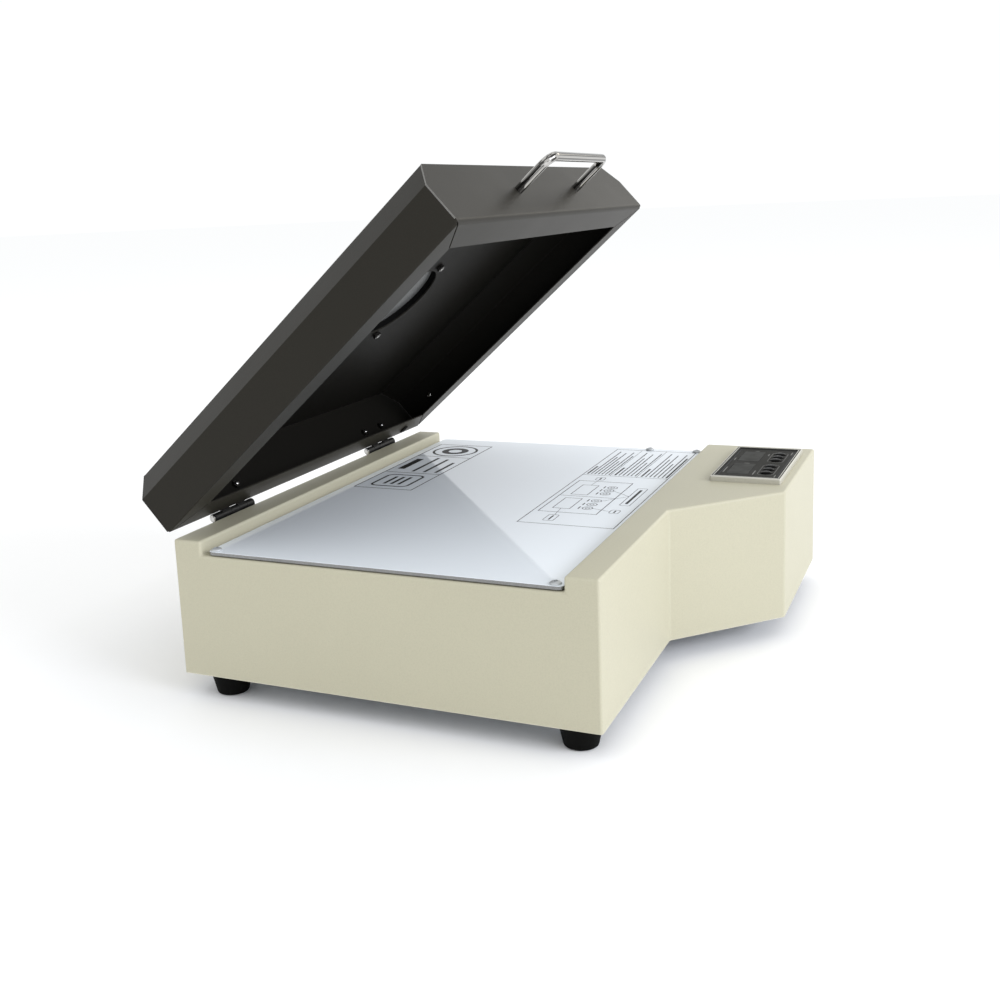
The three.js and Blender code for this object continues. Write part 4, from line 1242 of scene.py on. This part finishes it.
def baffle_plate(low):
    """A thin disc in the throat with six vents."""
    wide = FAN_BORE_R - 0.6
    disc = lathe([(wide - 0.4, low), (wide, low + 0.2), (wide, low + 0.6), (wide - 0.4, low + 0.8)], 72)
    vents = [moved(bore(4, low - 2, low + 3), turn(60 * n, "Z") @ shift(12, 0, 0)) for n in range(6)]
    return carve(disc, *vents)


def fan_blade(middle):
    """A swept blade along X, with less pitch and chord towards its tip."""
    root, steps = 16, 8
    section = ((-1, 0), (-0.5, 0.55), (0, 0.8), (0.5, 0.6), (1, 0.1), (0.5, -0.15), (0, 0.05), (-0.5, -0.2))
    rings = []
    for k in range(steps + 1):
        t = k / steps
        radius = root + (FAN_BORE_R - 2 - root) * t
        pitch = math.radians(52 - 16 * t)
        chord, sweep = 7.4 - 0.8 * t, math.radians(9) * t
        ring = []
        for u, v in section:
            across = u * chord * math.cos(math.pi / 2 - pitch) + v * math.cos(pitch)
            up = u * chord * math.sin(math.pi / 2 - pitch) * 0.86 - v * math.sin(pitch)
            angle = sweep + across / radius
            ring.append(Vector((radius * math.cos(angle), radius * math.sin(angle), middle + up)))
        rings.append(ring)
    return loft(rings)


def fan_rotor(low, high):
    """A hub with seven blades."""
    hub = lathe([(16.2, low), (17, low + 0.6), (17, high - 1.5), (15.6, high)])
    blades = [moved(fan_blade((low + high) / 2), turn(n * 360 / 7, "Z")) for n in range(7)]
    return merged(hub, *blades)


def finger_guard():
    """Seven wire rings on four wire spokes."""
    guard, wire, level = bmesh.new(), 0.8, FAN_H + 1.0
    for radius in (10, 16, 21, 26.5, 32, 37.5, 43.0):
        torus(radius, wire, level, guard)
    for n in range(4):
        angle = math.radians(45 + 90 * n)
        spoke = [Vector((r * math.cos(angle), r * math.sin(angle), level)) for r in (9, 43.4)]
        tube_along(spoke, wire, 12, guard)
    return guard


def make_fan():
    seat = LID @ shift(0, FAN_Y, LID_TOP + SEAM)
    low = 6.5 - LID_SHEET - SEAM
    piece("fan_housing", fan_housing(), seat, "lid", "black_plastic", BLACK, replaces=["fan_frame"])
    piece("baffle_plate", baffle_plate(low), seat, "lid", "bare_aluminium", ALUMINIUM,
          replaces=["fan_baffle"])
    piece("fan_impeller", fan_rotor(low + 2.2, FAN_H - 4.6), seat, "fan_rotor", "black_plastic", BLACK,
          replaces=["fan_rotor"])
    fitting("finger_guard", finger_guard(), seat, "lid", "fan_guard")
    for index, (x, y) in enumerate(FAN_SCREWS, 1):
        bolt = cross_screw(3.8, 2.4, shift(0, 0, FAN_FLANGE_T + 0.2), 8)
        fitting(f"fan_bolt_{index}", bolt, seat @ shift(x, y, 0), "lid", f"fan_screw_{index}")
        under = seat @ shift(x, y, -2.0) @ FACING_DOWN
        fitting(f"fan_nut_{index}", hex_nut(6.9, 2.8), under, "lid", look=DARK_STEEL)


# Rear power fittings

def upright(ring_levels, x):
    """Rings drawn in X and Z at places along Y, as solids on the rear wall."""
    return [[Vector((p.x + x, y, p.y + POWER_Z)) for p in ring] for ring, y in ring_levels]


def make_inlet():
    corners = [(12, 8), (-12, 8), (-12, -3.5), (-7.5, -8), (7.5, -8), (12, -3.5)]
    socket = fillet(corners, 0.8, 3, closed=True)
    flange, lip = rounded_rect(44, 28, 3), rounded_rect(43, 27, 2.6)
    wall, (w, h) = REAR_WALL, INLET_HALF
    plate = loft(upright([(flange, wall + 0.1), (flange, wall + 2.5), (lip, wall + 3.1)], INLET_X))
    back = block((INLET_X - w, wall - 26, POWER_Z - h), (INLET_X + w, wall + 1, POWER_Z + h), 0.6)
    body = carve(plate, back, operation="UNION")
    tools = [loft(upright([(socket, wall - 14), (socket, wall + 6)], INLET_X))]
    for x in (INLET_X - INLET_SCREW_X, INLET_X + INLET_SCREW_X):
        tools.append(moved(bore(1.8, -3, 6, 20), shift(x, wall, POWER_Z) @ FACING_REAR))
    piece("inlet_body", carve(body, *tools), BASE, "base", "black_plastic", BLACK, replaces=["power_inlet"])
    contacts = bmesh.new()
    for x, z in ((INLET_X - 7, POWER_Z - 1.5), (INLET_X, POWER_Z + 2.5), (INLET_X + 7, POWER_Z - 1.5)):
        block((x - 1, wall - 14.5, z - 2.4), (x + 1, wall - 1, z + 2.4), 0.4, contacts)
    fitting("inlet_contacts", contacts, BASE, "base")
    for side, sx in (("left", -1), ("right", 1)):
        spot = BASE @ shift(INLET_X + sx * INLET_SCREW_X, wall + 1.9, POWER_Z)
        fitting(f"inlet_screw_{side}", cross_screw(2.6, 1.2, FACING_REAR), spot, "base")


def make_switch():
    outer, lip = rounded_rect(23, 32, 1.6), rounded_rect(21.6, 30.6, 1.2)
    wall, (w, h) = REAR_WALL, SWITCH_HALF
    rim = loft(upright([(outer, wall + 0.1), (outer, wall + 1.5), (lip, wall + 2.3)], SWITCH_X))
    back = block((SWITCH_X - w, wall - 20, POWER_Z - h), (SWITCH_X + w, wall + 1, POWER_Z + h), 0.5)
    well = block((SWITCH_X - 7.5, wall - 12, POWER_Z - 12.2), (SWITCH_X + 7.5, wall + 6, POWER_Z + 12.2))
    body = carve(carve(rim, back, operation="UNION"), well)
    piece("switch_bezel", body, BASE, "base", "black_plastic", BLACK, replaces=["switch_frame"])

    side = [(-10.6, 0), (-10.2, 6.2), (0, 3.9), (10.2, 6.2), (10.6, 0), (4, -4.5), (-4, -4.5)]
    profile = fillet(side, [0.5, 0.7, 14, 0.7, 0.5, 0.8, 0.8], 6, closed=True)
    rings = [[Vector((x, p.y * share, p.x * share)) for p in profile]
             for x, share in ((-6.9, 0.97), (-6.5, 1), (6.5, 1), (6.9, 0.97))]
    tilt = shift(*ROCKER_AT) @ turn(-9, "X")
    piece("rocker_cap", loft(rings), tilt, "switch_rocker", "rocker_red", RED, replaces=["switch_rocker"])
    off = hoop(circle(1.9, sides=28), circle(1.35, sides=28), 0, 0.15)
    on = block((-0.3, -1.9, 0), (0.3, 1.9, 0.15))
    marks = merged(moved(off, shift(0, 5.25, 6.2) @ turn(-76.5, "X")),
                   moved(on, shift(0, 5.25, -6.2) @ turn(-103.5, "X")))
    piece("rocker_marks", marks, tilt, "switch_rocker", "rocker_red", WHITE_INK)


# Underside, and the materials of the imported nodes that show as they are

def make_underside():
    low, _ = node_box("bottom_cover")
    spots = [(-150, 176), (0, 176), (150, 176), (-225, 0), (225, 60), (225, -90), (-150, -176), (120, -258),
             (210, -258)]
    for index, (x, y) in enumerate(spots, 1):
        fitting(f"cover_screw_{index}", cross_screw(3.4, 1.7, FACING_DOWN),
                BASE @ shift(x, y, low.z - BASE_Z), "base")


NODE_LOOKS = {
    "bottom_cover": ZINC, "heat_shield_tray": ZINC, "heater_mat": SILICONE, "insulation_pad": WOOL,
    "thermal_cutout": BLACK, "temperature_sensor": STEEL_X, "controller_case": BLACK,
    "relay_heatsink": ALUMINIUM, "solid_state_relay": BLACK, "terminal_block": PANEL,
}


def paint_nodes():
    for name, material in NODE_LOOKS.items():
        node = frame["nodes"][name]
        node.data.materials.clear()
        node.data.materials.append(material)


# Floor, light and camera

def make_stage():
    mesh = bpy.data.meshes.new("floor")
    floor = bmesh.new()
    bmesh.ops.create_circle(floor, cap_ends=True, segments=96, radius=30)
    floor.to_mesh(mesh)
    floor.free()
    look = Look("floor_paper", (0.965, 0.965, 0.965), 0.9, Specular_IOR_Level=0.0)
    look.shade(look.window(look.noise(2, 2), 0.4, 0.7, 0, 0.05), 0.97)
    look.raise_by(look.noise(40, 2), 0.0002)
    mesh.materials.append(look.done())
    made = bpy.data.objects.new("floor", mesh)
    made.location.z = -0.0005
    bpy.context.scene.collection.objects.link(made)

    world = bpy.data.worlds.new("studio")
    world.use_nodes = True
    background = world.node_tree.nodes["Background"]
    background.inputs["Color"].default_value = (0.99, 1.0, 1.005, 1)
    background.inputs["Strength"].default_value = 1.02
    bpy.context.scene.world = world
    bpy.context.scene.view_settings.view_transform = "Standard"


def softbox(name, place, target, size, energy, color):
    light = bpy.data.lights.new(name, "AREA")
    light.shape = "RECTANGLE"
    light.size, light.size_y = size
    light.energy = energy
    light.color = color
    made = bpy.data.objects.new(name, light)
    made.location = place
    made.rotation_euler = (Vector(target) - Vector(place)).to_track_quat("-Z", "Y").to_euler()
    bpy.context.scene.collection.objects.link(made)


def make_camera():
    data = bpy.data.cameras.new("camera")
    data.sensor_width = 36
    data.lens = 42.47
    data.shift_x = 0.0388
    data.shift_y = -0.0759
    data.clip_start = 0.02
    camera = bpy.data.objects.new("camera", data)
    ahead = Vector((0.89393, 0.40753, -0.18655)).normalized()
    up = Vector((0.18749, 0.03803, 0.98153))
    right = ahead.cross(up).normalized()
    up = right.cross(ahead)
    turned = Matrix((right, up, -ahead)).transposed().to_4x4()
    camera.matrix_world = Matrix.Translation((-0.9974, -0.4094, 0.4051)) @ turned
    bpy.context.scene.collection.objects.link(camera)
    bpy.context.scene.camera = camera


make_camera()
make_stage()
softbox("front", (-0.5, -4.4, 2.0), (0, 0, 0.15), (3.4, 1.6), 122, (0.95, 0.98, 1.08))
softbox("lid_sheen", (3.4, -1.5, 1.9), (0, -0.1, 0.38), (1.6, 1.2), 13, (1.0, 0.93, 0.80))

make_housing()
make_platen()
make_feet()
make_printing()
make_controller()
controller_marks()
make_hinges()
make_lid_shell()
make_lid_ends()
make_lid_fixings()
make_handle()
make_fan()
make_inlet()
make_switch()
make_underside()
paint_nodes()
